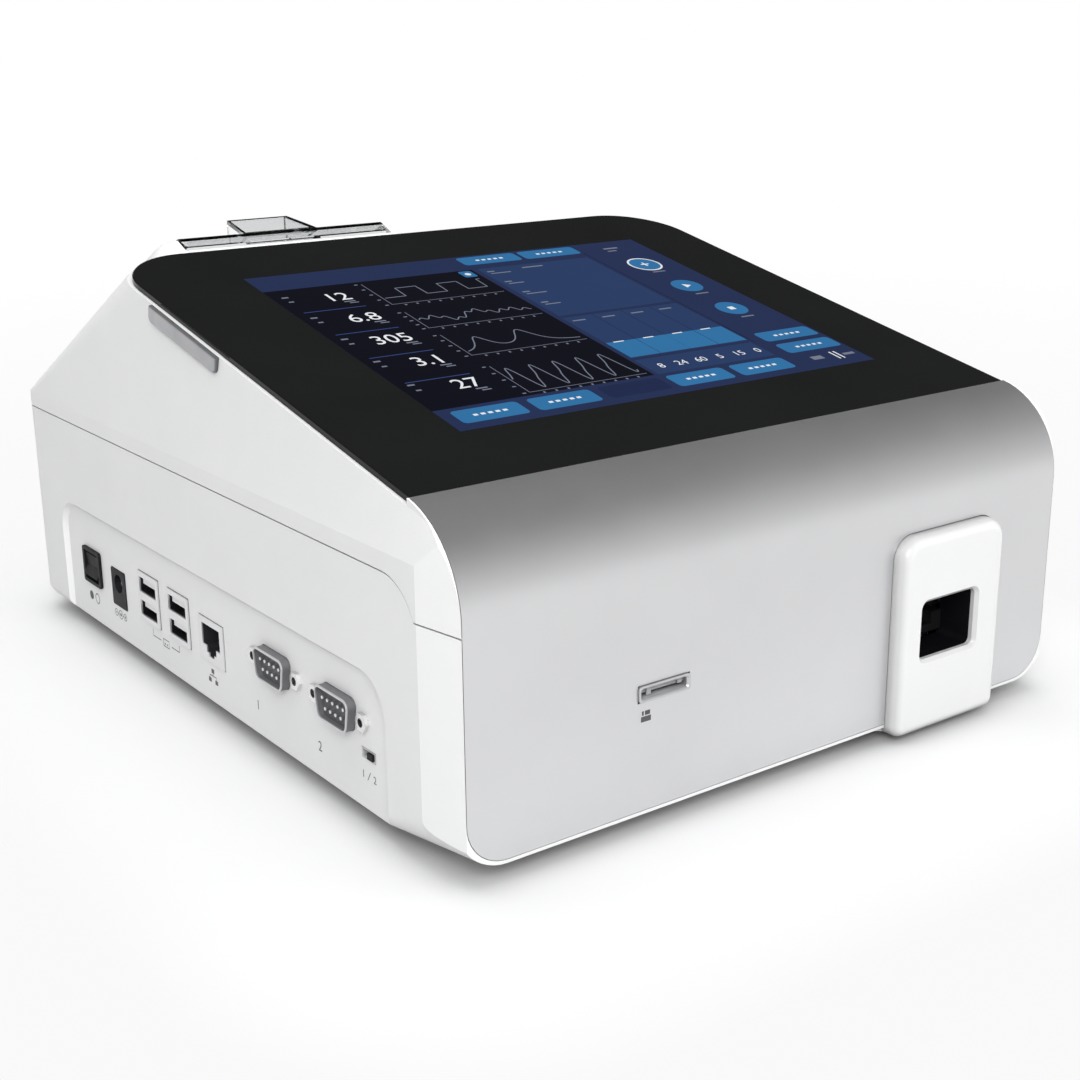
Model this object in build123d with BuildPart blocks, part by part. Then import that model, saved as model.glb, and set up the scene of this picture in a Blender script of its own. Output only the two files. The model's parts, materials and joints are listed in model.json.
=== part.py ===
# Benchtop immunofluorescence analyzer: wedge-shaped casing with a sloping touch screen, a test
# cassette carrier behind a window in the front, a label printer at the rear and a port panel.
# Frame: +X to the right, +Y to the rear, +Z up, origin under the middle of the whole machine.
# Places are given from the casing's left wall, its front face and its underside.
import os
from math import acos, atan2, cos, degrees, hypot, pi, radians, sin, tan

from build123d import *

os.makedirs("parts", exist_ok=True)

# Casing
case_width = 222.0
case_depth = 276.0
wall = 2.8
foot_height = 5.0
bend_above_seam = 3.0        # the front starts to bend this far above the seam's nose
front_radius = 27.0          # bend from the front into the sloping top
top_tilt = 12.3              # degrees
rear_deck = 80.35            # from the end of the glass to the rear wall
rear_bottom_radius = 18.0
low_corner_radius = 9.0      # rear corners, seen from above
glass_corner_radius = 24.0   # rear corners of the cover glass
top_taper = 2.2              # each side wall leans in this much at the top
bottom_edge_radius = 2.2
side_bottom_radius = 3.8     # lower edges of the side walls
front_corner_radius = 15.0   # lower corners in the front view
front_corner_fade = 34.0     # from the front to where it has become the side's own rounding
strip_width = 2.7            # white strip beside the front sheet
strip_depth = 15.5
seam_height = 70.3
eave_rise = 5.2              # top of the rear wall above the seam
seam_drop = 9.3              # the seam runs lower across the front
seam_radius = 15.0
seam_turn = 30.5             # where the seam starts to bend down
seam_gap = 0.4
front_height = seam_height - seam_drop + bend_above_seam
front_run = front_radius * (1 - sin(radians(top_tilt)))
glass_length = (case_depth - front_run - rear_deck) / cos(radians(top_tilt))

# Front sheet and cover glass
sheet_thickness = 1.5
sheet_gap = 0.2
sheet_corner = 12.0
sheet_bottom = 1.1
glass_thickness = 1.8
glass_rim = 1.1
glass_gap = 0.2

# Display under the glass
display_margin = 19.5        # between the display module and the casing's sides
display_height = 141.0
display_thickness = 6.5
display_offset = 1.7         # right of the middle
display_middle = 0.4964 * glass_length
display_gap = 0.4
display_corner = 1.0
display_seat = 0.1
glass_chamfer = 0.35
bracket_sheet = 1.0
bracket_flange = 7.0
bracket_slot_pitch = 20.0
bracket_slot_length = 80.0
bracket_slot_width = 9.0
bracket_slot_count = 7
bracket_corner = 3.0

# Clear lamp bar under the left edge of the glass
lamp_start = 0.551 * glass_length
lamp_length = 44.5
lamp_height = 5.0
lamp_gap = 0.3
lamp_in = 0.9                # its face, from the casing's widest
lamp_depth = 2.8
lamp_back = 0.2
lamp_corner = 2.2
lamp_fit = 0.1
lamp_wall = 1.1
lamp_face = 1.1
lamp_edge = 0.7

# Cassette bezel, places of its outline
bezel_right = 29.2           # from the casing's right wall
bezel_width = 43.6
bezel_top = 57.5
bezel_drop = 3.0             # reaches below the underside
bezel_out = 4.6
bezel_corner = 7.0
bezel_bottom_corner = 3.5
bezel_edge = 3.0
bezel_gap = 0.3
chin_depth = 14.0
chin_flare = 11.0
chin_bend = 0.25
chin_sag = 0.35
window_shift = -1.45         # from the bezel's middle
window_width = 23.1
window_bottom = 19.8
window_height = 17.6
window_corner = 2.0
window_bevel = 1.0
window_rim = 2.3             # the bezel's own thickness round the window
throat_wall = 1.4
throat_length = 9.0

# Card slot
slot_left = 55.7
slot_width = 17.2
slot_bottom = 31.5
slot_height = 4.5
slot_rim = 1.0
slot_out = 0.6
card_width = 13.4
card_gap = 1.5
slot_corner = 0.9
slot_inner_corner = 0.5
slot_bevel = 0.5
socket_side = 2.0
socket_over = 1.5
socket_corner = 0.8
socket_end = 2.0
socket_foot_in = 4.0
socket_depth = 18.0

# Port panel on the left
port_recess = 1.6
panel_bevel = 42.0           # degrees, slope of the recess's rim
panel_front = 33.2
panel_rear_gap = 28.0
panel_top = 39.6
panel_corner = 10.4
port_clearance = 0.15
board_top = 12.0
board_thickness = 1.6
board_front = 28.0
board_rear_gap = 36.0
board_side_gap = 0.6
board_wall_gap = 0.8
board_post_in = 8.0
board_post_end = 6.0
board_screw = 1.4
post_radius = 3.2
chip_shift = 8.0             # right of the board's middle
fin_thickness = 1.4
fin_inset = 1.0
memory_width = 12.0
memory_length = 18.0
memory_thickness = 1.2
chip_size = 23.0
chip_thickness = 2.4
chip_y = 96.0
fin_count = 6
fin_pitch = 3.6
fin_height = 8.0
memory_y = 132.0
capacitor_y = 200.0
capacitor_pitch = 14.0
capacitor_radius = 4.0
capacitor_height = 11.0

# Ports: `along` is the share of the panel's length from its front end, `z` from the underside
switch_along = 0.902
switch_z = 20.7
switch_width = 14.5
switch_height = 12.7
switch_depth = 15.0
switch_flange = 1.0
switch_lip = 0.5
rocker_width = 11.0
rocker_half = 3.9
rocker_rise = 3.0
rocker_tilt = 7.0
rocker_swing = 14.0
dc_along = 0.801
dc_width = 11.3
dc_height = 13.0
dc_depth = 14.0
dc_hole_radius = 3.2
dc_hole_rise = 1.6
dc_hole_depth = 9.5
dc_pin_radius = 1.05
usb_along = (0.684, 0.58)
usb_z = 21.6
usb_width = 15.5
usb_height = 16.5
usb_depth = 17.0
usb_mouth_width = 12.5
usb_mouth_height = 5.1
usb_mouth_pitch = 7.9
usb_tongue_width = 11.2
usb_tongue_height = 1.9
lan_along = 0.4725
lan_z = 20.5
lan_width = 16.6
lan_height = 14.0
lan_depth = 18.0
lan_mouth_width = 11.8
lan_mouth_height = 6.8
lan_mouth_depth = 13.0
serial_along = (0.2793, 0.1136)
serial_z = 25.4
serial_nut_spacing = 25.0
serial_shell_out = 2.8
serial_insert_out = 1.0
serial_shell_width = 18.2
serial_shell_height = 9.6
serial_shell_wall = 0.6
serial_flange_width = 30.8
serial_flange_height = 12.5
serial_pin_count = 5         # in the upper row, one less in the lower
serial_pin_pitch = 2.76
serial_row_pitch = 2.84
serial_pin_radius = 0.5
serial_pin_length = 1.2
serial_pin_sides = 8
serial_corner = 2.4
serial_inner_corner = 1.8
serial_flange_corner = 1.5
serial_flange_thickness = 0.8
serial_flange_gap = 0.05
serial_body_over = 0.5
serial_body_depth = 7.0
serial_post_in = 1.0
serial_nut_hole = 1.5
nut_out = 1.2
nut_flats = 4.8
nut_hole_radius = 1.25
nut_hole_depth = 5.0
nut_collar = 1.5
mode_along = 0.047
mode_z = 16.7
mode_width = 6.8
mode_height = 2.8
mode_travel = 2.2
mode_floor = 2.2
slider_out = 0.7
mode_depth = 7.0
mode_rim = 0.5
mode_rim_high = 0.4
mode_post = 4.0
slider_gap = 0.15
slider_width = 2.6

# Printer at the rear
printer_x = 69.0
crest_behind_glass = 8.0
crest_rise = 3.2             # above the rear end of the glass
hump_slope = 27.0            # degrees, down to the rear
hump_width = 87.0
hump_length = 67.0
hump_draft = 40.0
hump_depth = 26.0
hump_corner = 6.0
cover_width = 76.0
cover_length = 55.0
cover_thickness = 2.0
cover_gap = 0.4
cover_proud = 0.4
cover_lip = 5.5
barrel_radius = 2.0
hinge_pin_radius = 1.0
running_gap = 0.05
exit_gap = 1.3
hinge_pin_seat = 3.0
grip_front_width = 28.0
grip_rear_width = 22.5
grip_length = 18.0
grip_rise = 9.0              # degrees, up to the rear
grip_wall = 1.5
roll_radius = 19.0
roll_width = 57.0
core_radius = 6.5
core_bore = 5.0
roll_gap = 1.2
roll_back = 40.0             # down the hump from its crest
tub_wall = 1.6
platen_radius = 4.8
platen_length = 58.0
platen_shaft_radius = 1.5
gear_module = 0.6
platen_teeth = 18
idler_teeth = 24
motor_teeth = 12
gear_width = 2.4
idler_angle = 235.0          # degrees from the rear, seen along +X
motor_angle = 260.0
printer_motor_radius = 6.5
printer_motor_length = 16.0
frame_sheet = 1.2
frame_half = 32.0            # inner faces of the side plates
head_thickness = 3.9
head_gap = 0.05
platen_behind = 5.4          # behind the crest
platen_drop = 12.0           # below the crest
shelf_drop = 27.7            # shelf below the platen's middle
shelf_reach = 12.65          # shelf's front edge ahead of the crest
flange_start = 17.0
flange_rim = 1.8
barrel_room = 0.5
tear_pitch = 1.5
tear_height = 1.2
cover_corner = 5.0
grip_inner = 3.2

# Cassette carrier and its drive
tray_width = 22.1
tray_front = 8.0
tray_length = 152.0
tray_bottom = 21.5
tray_height = 6.0
pocket_width = 20.2
pocket_length = 70.0
pocket_depth = 3.6
carriage_half = 31.0
carriage_front = 116.0
carriage_length = 66.0
carriage_bottom = 13.0
carriage_window = 24.0
rod_radius = 2.5
rod_offset = 26.0
rod_height = 17.3
rod_front = 12.0
rod_rear = 194.0
bush_radius = 3.6
bush_length = 8.0
drive_module = 0.8
pinion_teeth = 14
pinion_y = 110.0
rack_width = 4.0
rack_height = 4.5
carrier_travel = 65.0
motor_size = 28.0
motor_length = 26.0
chassis_reach = 58.5         # left of the window's middle
chassis_height = 6.0
chassis_sheet = 1.2
plate_slot = 20.0
plate_slot_end = 30.0
chassis_side_gap = 4.0
chassis_start = 9.0
chassis_margin = 4.0
chassis_post_in = 6.0
chassis_post_front = 26.0
rod_chamfer = 0.4
block_length = 7.0
block_width = 12.0
block_in = 1.0
carriage_bridge = 12.0
carriage_corner = 3.0
pocket_margin = 4.0
pocket_corner = 2.0
finger_radius = 7.0
tray_rib = 3.0
relief_depth = 1.5
relief_length = 50.0
relief_end = 9.0
tray_chamfer = 0.6
rack_margin = 6.0
rack_rise = 1.5
rack_backlash = 0.05
pinion_over = 0.4
shaft_under = 1.2
shaft_grip = 6.0
motor_clearance = 0.8
motor_hole_depth = 7.0
motor_corner = 3.0
bracket_side = 2.0
bracket_foot = 6.0
tooth_tip = 0.85              # modules
tooth_root = 1.2
notch_width = 12.0           # clears the front screw post
notch_length = 19.0
motor_plate = 1.5
motor_shaft_radius = 2.0
optics_y = 76.0
optics_gap = 3.5             # bridge above the tray
bridge_depth = 36.0
lens_radius = 7.0
optics_width = 34.0
optics_inset = 2.0
optics_height = 22.0
optics_chamfer = 4.0
detector_radius = 6.0
detector_height = 9.0
bridge_sheet = 2.0
bridge_clearance = 2.5
lens_flange = 1.0
lens_bore = 12.0
lens_recess = 0.3
lens_height = 6.0
lens_edge = 1.2

# Fasteners and feet
boss_radius = 4.0
boss_x = 13.0
boss_front = 22.0
boss_rear_gap = 20.0
boss_wall = 1.0              # of the lower posts over the upper ones
boss_drop = 1.0
boss_overlap = 12.0
screw_bite = 10.0
head_depth = 6.0             # screw seats above the casing's floor
head_fit = 0.3
shaft_fit = 0.15
screw_head_height = 2.4
socket_radius = 1.0
socket_drop = 1.2
foot_stud = 2.5
foot_chamfer = 0.8
screw_radius = 1.5
screw_head_radius = 2.9
foot_radius = 6.5
foot_x = 22.0
foot_front = 34.0
foot_rear_gap = 38.0
vent_count = 15
vent_pitch = 6.0
vent_width = 2.6
vent_height = 24.0
vent_middle = 42.0

# Frame of the whole machine
side_out = serial_shell_out - port_recess
left = (side_out - case_width) / 2
right = left + case_width
mid = (left + right) / 2
front = (bezel_out - case_depth) / 2
rear = front + case_depth
base = foot_height
tilt = radians(top_tilt)
bend_y = front + front_radius
bend_z = base + front_height
top_y = bend_y - front_radius * sin(tilt)
top_z = bend_z + front_radius * cos(tilt)
panel_x = left + port_recess
panel_rear = case_depth - panel_rear_gap
bezel_mid = right - bezel_right - bezel_width / 2
window_mid = bezel_mid + window_shift
display_width = case_width - 2 * display_margin
window_z = base + window_bottom + window_height / 2
standing = (Align.CENTER, Align.CENTER, Align.MIN)
hanging = (Align.CENTER, Align.CENTER, Align.MAX)


def port_y(along):
    """Place of a port, from the casing's front face."""
    return panel_front + along * (panel_rear - panel_front)


switch_y = port_y(switch_along)
dc_y = port_y(dc_along)
usb_ys = [port_y(along) for along in usb_along]
lan_y = port_y(lan_along)
serial_ys = [port_y(along) for along in serial_along]
mode_y = port_y(mode_along)


def top_plane(depth):
    """The glass's own slope, `depth` below its outer face; local y runs up the slope."""
    return Plane(
        origin=(mid, top_y + depth * sin(tilt), top_z - depth * cos(tilt)),
        x_dir=(1, 0, 0),
        z_dir=(0, -sin(tilt), cos(tilt)),
    )


# Rear slope, from the top of the rear wall to just behind the glass
shell_top_length = glass_length + glass_rim
ridge_y = top_y + shell_top_length * cos(tilt) + glass_thickness * sin(tilt)
ridge_z = top_z + shell_top_length * sin(tilt) - glass_thickness * cos(tilt)
eave_z = base + seam_height + eave_rise
rear_slope = atan2(ridge_z - eave_z, rear - ridge_y)


# Crest of the printer hump, behind the glass
glass_end_y = top_y + glass_length * cos(tilt)
glass_end_z = top_z + glass_length * sin(tilt)
crest_y = glass_end_y + crest_behind_glass
crest_z = glass_end_z + crest_rise


def rounded_plan(half_width, low_y, high_y, corner):
    """Rectangle with its two far corners rounded."""
    with BuildSketch() as plan:
        with BuildLine():
            side = Line((half_width, low_y), (half_width, high_y - corner))
            CenterArc((half_width - corner, high_y - corner), corner, 0, 90)
            Line((half_width - corner, high_y), (corner - half_width, high_y))
            CenterArc((corner - half_width, high_y - corner), corner, 90, 90)
            other = Line((-half_width, high_y - corner), (-half_width, low_y))
            Line(other @ 1, side @ 0)
        make_face()
    return plan.sketch


def corner_view(side, radius, inset):
    """Front view of what a rounding of `radius` takes off a lower corner of the casing."""
    edge = side * (case_width / 2 - inset)
    low = base + inset
    start = (edge, low + radius)
    end = (edge - side * radius, low)
    trim = radius * (1 - cos(pi / 4))
    with BuildSketch() as view:
        with BuildLine():
            ThreePointArc(start, (edge - side * trim, low + trim), end)
            Polyline(end, (end[0], low - 1), (edge + side, low - 1), (edge + side, start[1]), start)
        make_face()
    return view.sketch


def front_centre(x, y):
    """Upright plane at `y` with its local origin on the floor at `x`, seen from the front."""
    return Plane((x, y, 0), x_dir=(1, 0, 0), z_dir=(0, -1, 0))


def casing_form(inset):
    """The whole casing's outline with every wall moved in by `inset`, closed all round."""
    front_in = inset + (sheet_thickness + sheet_gap if inset else 0)
    eave = eave_z - inset * (1 - sin(rear_slope)) / cos(rear_slope)
    depth = glass_thickness + inset
    start = (top_y + depth * sin(tilt) - rear, top_z - depth * cos(tilt) - eave_z)
    along = -cos(tilt) * sin(rear_slope) - sin(tilt) * cos(rear_slope)
    reach = (inset + start[0] * sin(rear_slope) + start[1] * cos(rear_slope)) / along
    half = case_width / 2 - inset
    ahead = front - 2 * front_radius
    low = base + inset
    low_plan = rounded_plan(half, ahead, rear - inset, low_corner_radius - inset)
    top_plan = rounded_plan(half - top_taper, -2 * front_radius, reach, glass_corner_radius - inset)
    with BuildPart() as form:
        with BuildSketch(Plane((mid, 0, low))):
            add(low_plan)
        extrude(amount=eave - low)
        with BuildSketch(Plane((mid, 0, eave))):
            add(low_plan)
        with BuildSketch(top_plane(depth)):
            add(top_plan)
        loft(ruled=True)
        if not inset:
            with BuildSketch(Plane.YZ.offset(mid)):
                with BuildLine():
                    CenterArc((bend_y, bend_z), front_radius, 180, top_tilt - 90)
                    Polyline((top_y, top_z), (top_y, bend_z), (front, bend_z))
                make_face()
            extrude(amount=half - top_taper, both=True)
        with BuildSketch(Plane.YZ.offset(mid)):
            with BuildLine():
                rise = Line((front + front_in, low), (front + front_in, bend_z))
                bend = CenterArc((bend_y, bend_z), front_radius - front_in, 180, top_tilt - 90)
                sky = Polyline(
                    bend @ 1,
                    (top_y + front_in * sin(tilt), top_z + case_depth),
                    (rear + wall, top_z + case_depth),
                    (rear + wall, base + rear_bottom_radius),
                    (rear - inset, base + rear_bottom_radius),
                )
                heel_radius = rear_bottom_radius - inset
                heel = CenterArc((rear - rear_bottom_radius, base + rear_bottom_radius), heel_radius, 0, -90)
                Line(heel @ 1, rise @ 0)
            make_face()
        extrude(amount=case_width, both=True, mode=Mode.INTERSECT)
        grow = 1 + inset * hypot(1 / strip_width, 1 / strip_depth)
        for side in (-1, 1):
            edge = mid + side * case_width / 2
            with BuildSketch(Plane.XY.offset(low)):
                with BuildLine():
                    Polyline(
                        (edge + side, front + strip_depth * grow),
                        (edge, front + strip_depth * grow),
                        (edge - side * strip_width * grow, front),
                        (edge - side * strip_width * grow, front - 1),
                        (edge + side, front - 1),
                        close=True,
                    )
                make_face()
            extrude(amount=top_z + case_depth, mode=Mode.SUBTRACT)
        fade_y = front + front_corner_fade
        for side in (-1, 1):
            low_edge = corner_view(side, side_bottom_radius - inset, inset)
            with BuildSketch(front_centre(mid, front - 1)):
                add(corner_view(side, front_corner_radius - inset, inset))
            with BuildSketch(front_centre(mid, fade_y)):
                add(low_edge)
            loft(ruled=True, mode=Mode.SUBTRACT)
            with BuildSketch(front_centre(mid, fade_y)):
                add(low_edge)
            extrude(amount=-(rear + 1 - fade_y), mode=Mode.SUBTRACT)
    return form.part


def front_sheet_form(grow):
    """The bent front sheet, all its faces moved out by `grow`."""
    foot = base + sheet_bottom - grow
    front_view = rounded_plan(case_width / 2 - strip_width - sheet_gap + grow, 0, 2 * top_z, sheet_corner + grow)
    with BuildPart() as form:
        with BuildSketch(Plane.YZ.offset(mid)):
            with BuildLine():
                outer = Line((front - grow, foot), (front - grow, bend_z))
                bend = CenterArc((bend_y, bend_z), front_radius + grow, 180, top_tilt - 90)
                inside = front_radius - sheet_thickness - grow
                back = CenterArc((bend_y, bend_z), inside, 90 + top_tilt, 90 - top_tilt)
                inner = Line((front + sheet_thickness + grow, bend_z), (front + sheet_thickness + grow, foot))
                Line(bend @ 1, back @ 0)
                Line(inner @ 1, outer @ 0)
            make_face()
        extrude(amount=case_width, both=True)
        with BuildSketch(Plane((mid, front - bezel_out, foot + 2 * top_z), x_dir=(1, 0, 0), z_dir=(0, 1, 0))):
            add(front_view)
        extrude(amount=4 * front_radius, mode=Mode.INTERSECT)
    return form.part


def side_plane(x):
    """Upright plane at `x`, seen from the left: local x to the front, local y up, normal -X."""
    return Plane((x, 0, 0), x_dir=(0, -1, 0), z_dir=(-1, 0, 0))


def seam_block(rise, upward):
    """Everything above or below the seam line, which is moved up by `rise`."""
    line_z = base + seam_height + rise
    nose_z = line_z - seam_drop
    sweep = degrees(acos(1 - seam_drop / seam_radius))
    far = top_z + case_depth if upward else base - case_depth
    with BuildPart() as block:
        with BuildSketch(Plane.YZ.offset(mid)):
            with BuildLine():
                flat = Line((rear + case_depth, line_z), (front + seam_turn, line_z))
                curve = CenterArc((front + seam_turn, line_z - seam_radius), seam_radius, 90, sweep)
                Polyline(
                    curve @ 1,
                    (front - case_depth, nose_z),
                    (front - case_depth, far),
                    (rear + case_depth, far),
                    flat @ 0,
                )
            make_face()
        extrude(amount=case_width, both=True)
    return block.part


def hump_plane(height):
    """Plane `height` above the hump's top face; local y runs down the slope to the rear."""
    slope = radians(hump_slope)
    return Plane(
        origin=(left + printer_x, crest_y + height * sin(slope), crest_z + height * cos(slope)),
        x_dir=(1, 0, 0),
        z_dir=(0, sin(slope), cos(slope)),
    )


def hump_point(down, height):
    """Y and Z of a point `down` the hump's slope from its crest and `height` above its face."""
    slope = radians(hump_slope)
    y = crest_y + down * cos(slope) + height * sin(slope)
    return (y, crest_z - down * sin(slope) + height * cos(slope))


def hump_form(inset):
    """The raised printer housing with drafted sides, its faces moved in by `inset`."""
    with BuildPart() as form:
        with BuildSketch(hump_plane(-inset)):
            with Locations((0, hump_length / 2)):
                RectangleRounded(hump_width - 2 * inset, hump_length - 2 * inset, hump_corner - inset)
        extrude(amount=-hump_depth, taper=-hump_draft)
        if not inset:
            crown = form.faces().sort_by(Axis((0, 0, 0), hump_plane(0).z_dir))[-1]
            fillet(crown.edges(), bottom_edge_radius)
    return form.part


def gear_points(teeth, module, phase, backlash=0.08):
    """Outline of an involute gear of 20 degrees with slightly shortened teeth."""
    pressure = radians(20)
    pitch_radius = teeth * module / 2
    base_radius = pitch_radius * cos(pressure)
    tip = pitch_radius + tooth_tip * module
    root = pitch_radius - tooth_root * module
    half = (pi * module / 2 - backlash) / (2 * pitch_radius) + tan(pressure) - pressure
    flank = []
    for step in range(4):
        radius = max(base_radius, root) + (tip - max(base_radius, root)) * step / 3
        roll = acos(min(1, base_radius / radius))
        flank.append((radius, half - (tan(roll) - roll)))
    points = []
    for tooth in range(teeth):
        middle = radians(phase) + 2 * pi * tooth / teeth
        points.append((root, middle - flank[0][1]))
        points.extend((radius, middle - angle) for radius, angle in flank)
        points.extend((radius, middle + angle) for radius, angle in reversed(flank))
        points.append((root, middle + flank[0][1]))
    return [(radius * cos(angle), radius * sin(angle)) for radius, angle in points]


def mate_phase(direction, phase, teeth, mate_teeth):
    """Phase of a gear that meshes at `direction` with one of `teeth` at `phase`, in degrees."""
    lead = (direction - phase) % (360 / teeth)
    return direction + 180 + lead * teeth / mate_teeth + 180 / mate_teeth


outer_form = casing_form(0)
inner_form = casing_form(wall)
sheet_tool = front_sheet_form(sheet_gap)
above_seam = seam_block(-seam_gap / 2, True)
below_seam = seam_block(seam_gap / 2, False)
hump_outer = hump_form(0)
hump_inner = hump_form(wall)

# Casing shells

def round_posts(points, radius, low, high):
    """Upright round posts at the given points, between two heights."""
    with BuildPart() as posts:
        with BuildSketch(Plane.XY.offset(low)):
            with Locations(*points):
                Circle(radius)
        extrude(amount=high - low)
    return posts.part


screw_front = front + boss_front
screw_rear = rear - boss_rear_gap
screw_points = [(x, y) for x in (left + boss_x, right - boss_x) for y in (screw_front, screw_rear)]
foot_points = [
    (x, y) for x in (left + foot_x, right - foot_x) for y in (front + foot_front, rear - foot_rear_gap)
]
chassis_left = window_mid - chassis_reach
board_bottom = base + board_top - board_thickness
board_left = left + wall + board_wall_gap
board_right = chassis_left - board_side_gap
board_mid = (board_left + board_right) / 2
board_rear = rear - board_rear_gap
board_posts = [
    (x, y)
    for x in (board_left + board_post_in, board_right - board_post_end)
    for y in (front + board_front + board_post_end, board_rear - board_post_end)
]
chassis_right = right - wall - chassis_side_gap
chassis_front = front + chassis_start
chassis_rear = front + rod_rear + chassis_margin
chassis_posts = [
    (x, y)
    for x in (chassis_left + chassis_post_in, chassis_right - chassis_post_in)
    for y in (chassis_front + chassis_post_front, chassis_rear - chassis_post_in)
]
boss_split = base + seam_height - seam_drop - boss_drop
boss_fit = 0.3
screw_seat = base + wall + head_depth


def bezel_view(grow):
    """Front view of the cassette bezel, its sides moved out by `grow`."""
    half = bezel_width / 2 + grow
    low = base - bezel_drop - grow
    high = base + bezel_top + grow
    top_corner = bezel_corner + grow
    low_corner = bezel_bottom_corner + grow
    with BuildSketch() as view:
        with BuildLine():
            Line((-half, low + low_corner), (-half, high - top_corner))
            CenterArc((top_corner - half, high - top_corner), top_corner, 180, -90)
            Line((top_corner - half, high), (half - top_corner, high))
            CenterArc((half - top_corner, high - top_corner), top_corner, 90, -90)
            Line((half, high - top_corner), (half, low + low_corner))
            CenterArc((half - low_corner, low + low_corner), low_corner, 0, -90)
            Line((half - low_corner, low), (low_corner - half, low))
            CenterArc((low_corner - half, low + low_corner), low_corner, 270, -90)
        make_face()
    return view.sketch




inner_front = front + sheet_thickness + sheet_gap + wall
bezel_hole = bezel_view(bezel_gap)
feet_holes = round_posts(foot_points, foot_stud, base - 1, base + wall + 1)
screw_heads = round_posts(screw_points, screw_head_radius + head_fit, base - 1, screw_seat)
screw_shafts = round_posts(screw_points, screw_radius + shaft_fit, base - 1, boss_split + 1)
low_bosses = round_posts(screw_points, boss_radius + boss_wall, base + 1, boss_split - boss_fit / 2)
standoffs = round_posts(board_posts, post_radius, base + 1, board_bottom)
chassis_feet = round_posts(chassis_posts, post_radius, base + 1, base + chassis_height)

ports = [
    (switch_y, switch_z, switch_width - 2 * switch_lip, switch_height - 2 * switch_lip),
    (dc_y, board_top + dc_height / 2, dc_width, dc_height),
    (usb_ys[0], usb_z, usb_width, usb_height),
    (usb_ys[1], usb_z, usb_width, usb_height),
    (lan_y, lan_z, lan_width, lan_height),
    (mode_y, mode_z, mode_width, mode_height),
]


def dee(width, height, corner):
    """The outline of a nine-way serial shell: wider at the top, its sides leaning in by ten degrees."""
    lean = height * tan(radians(10))
    with BuildSketch() as view:
        with BuildLine():
            Polyline(
                (-width / 2, height / 2),
                (width / 2, height / 2),
                (width / 2 - lean, -height / 2),
                (lean - width / 2, -height / 2),
                close=True,
            )
        make_face()
        fillet(view.vertices(), corner)
    return view.sketch


recess_rim = (1 + port_recess) * tan(radians(panel_bevel))
serial_hole = dee(
    serial_shell_width + 2 * port_clearance,
    serial_shell_height + 2 * port_clearance,
    serial_corner,
)

with BuildPart() as lower_shell:
    add(outer_form)
    add(inner_form, mode=Mode.SUBTRACT)
    add(low_bosses)
    add(standoffs)
    add(chassis_feet)
    add(above_seam, mode=Mode.SUBTRACT)
    add(sheet_tool, mode=Mode.SUBTRACT)
    add(screw_heads, mode=Mode.SUBTRACT)
    add(screw_shafts, mode=Mode.SUBTRACT)
    add(feet_holes, mode=Mode.SUBTRACT)
    # Front: seat of the bezel, its throat and the card slot
    with BuildSketch(front_centre(bezel_mid, front - 1)):
        add(bezel_hole)
    extrude(amount=-(1 + sheet_thickness + sheet_gap), mode=Mode.SUBTRACT)
    with BuildSketch(front_centre(window_mid, front)):
        with Locations((0, window_z)):
            Rectangle(
                window_width + 2 * (throat_wall + port_clearance),
                window_height + 2 * (throat_wall + port_clearance),
            )
    extrude(amount=-(throat_length + wall), mode=Mode.SUBTRACT)
    with BuildSketch(front_centre(left + slot_left + slot_width / 2, front)):
        with Locations((0, base + slot_bottom + slot_height / 2)):
            Rectangle(slot_width + 2 * port_clearance, slot_height + 2 * port_clearance)
    extrude(amount=-(throat_length + wall), mode=Mode.SUBTRACT)
    # Left: shallow port panel, open at the bottom, and its cut-outs
    with BuildSketch(side_plane(left - 1)):
        with Locations((-front - (panel_front + panel_rear) / 2, base + (panel_top - panel_corner) / 2 - wall)):
            RectangleRounded(
                panel_rear - panel_front + 2 * recess_rim,
                panel_top + panel_corner + 2 * wall + 2 * recess_rim,
                panel_corner + recess_rim,
            )
    extrude(amount=-(1 + port_recess), taper=panel_bevel, mode=Mode.SUBTRACT)
    with BuildSketch(side_plane(left)):
        for y, z, width, height in ports:
            with Locations((-front - y, base + z)):
                Rectangle(width + 2 * port_clearance, height + 2 * port_clearance)
        for y in serial_ys:
            with Locations((-front - y, base + serial_z)):
                add(serial_hole)
            for side in (-1, 1):
                with Locations((-front - y + side * serial_nut_spacing / 2, base + serial_z)):
                    Circle(serial_nut_hole)
    extrude(amount=-(wall + 1), mode=Mode.SUBTRACT)
    # Rear: ventilation slots
    with BuildSketch(front_centre(mid, rear + 1)):
        with Locations((0, base + vent_middle)):
            with GridLocations(vent_pitch, vent_height, vent_count, 1):
                SlotOverall(vent_height, vent_width, rotation=90)
    extrude(amount=wall + 2, mode=Mode.SUBTRACT)
lower_shell.part.label = "lower_shell"
export_step(lower_shell.part, "parts/lower_shell.step")

# Upper shell: openings for the display, the printer and the side lamp
printer_mid = left + printer_x
barrel_down = cover_length + barrel_radius
hatch_end = barrel_down + barrel_radius + cover_gap
hatch_front = glass_end_y + exit_gap
up_bosses = round_posts(screw_points, boss_radius, boss_split + boss_fit / 2, top_z + case_depth)
pilot_holes = round_posts(screw_points, screw_radius, boss_split - 1, boss_split + boss_overlap)


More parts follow.
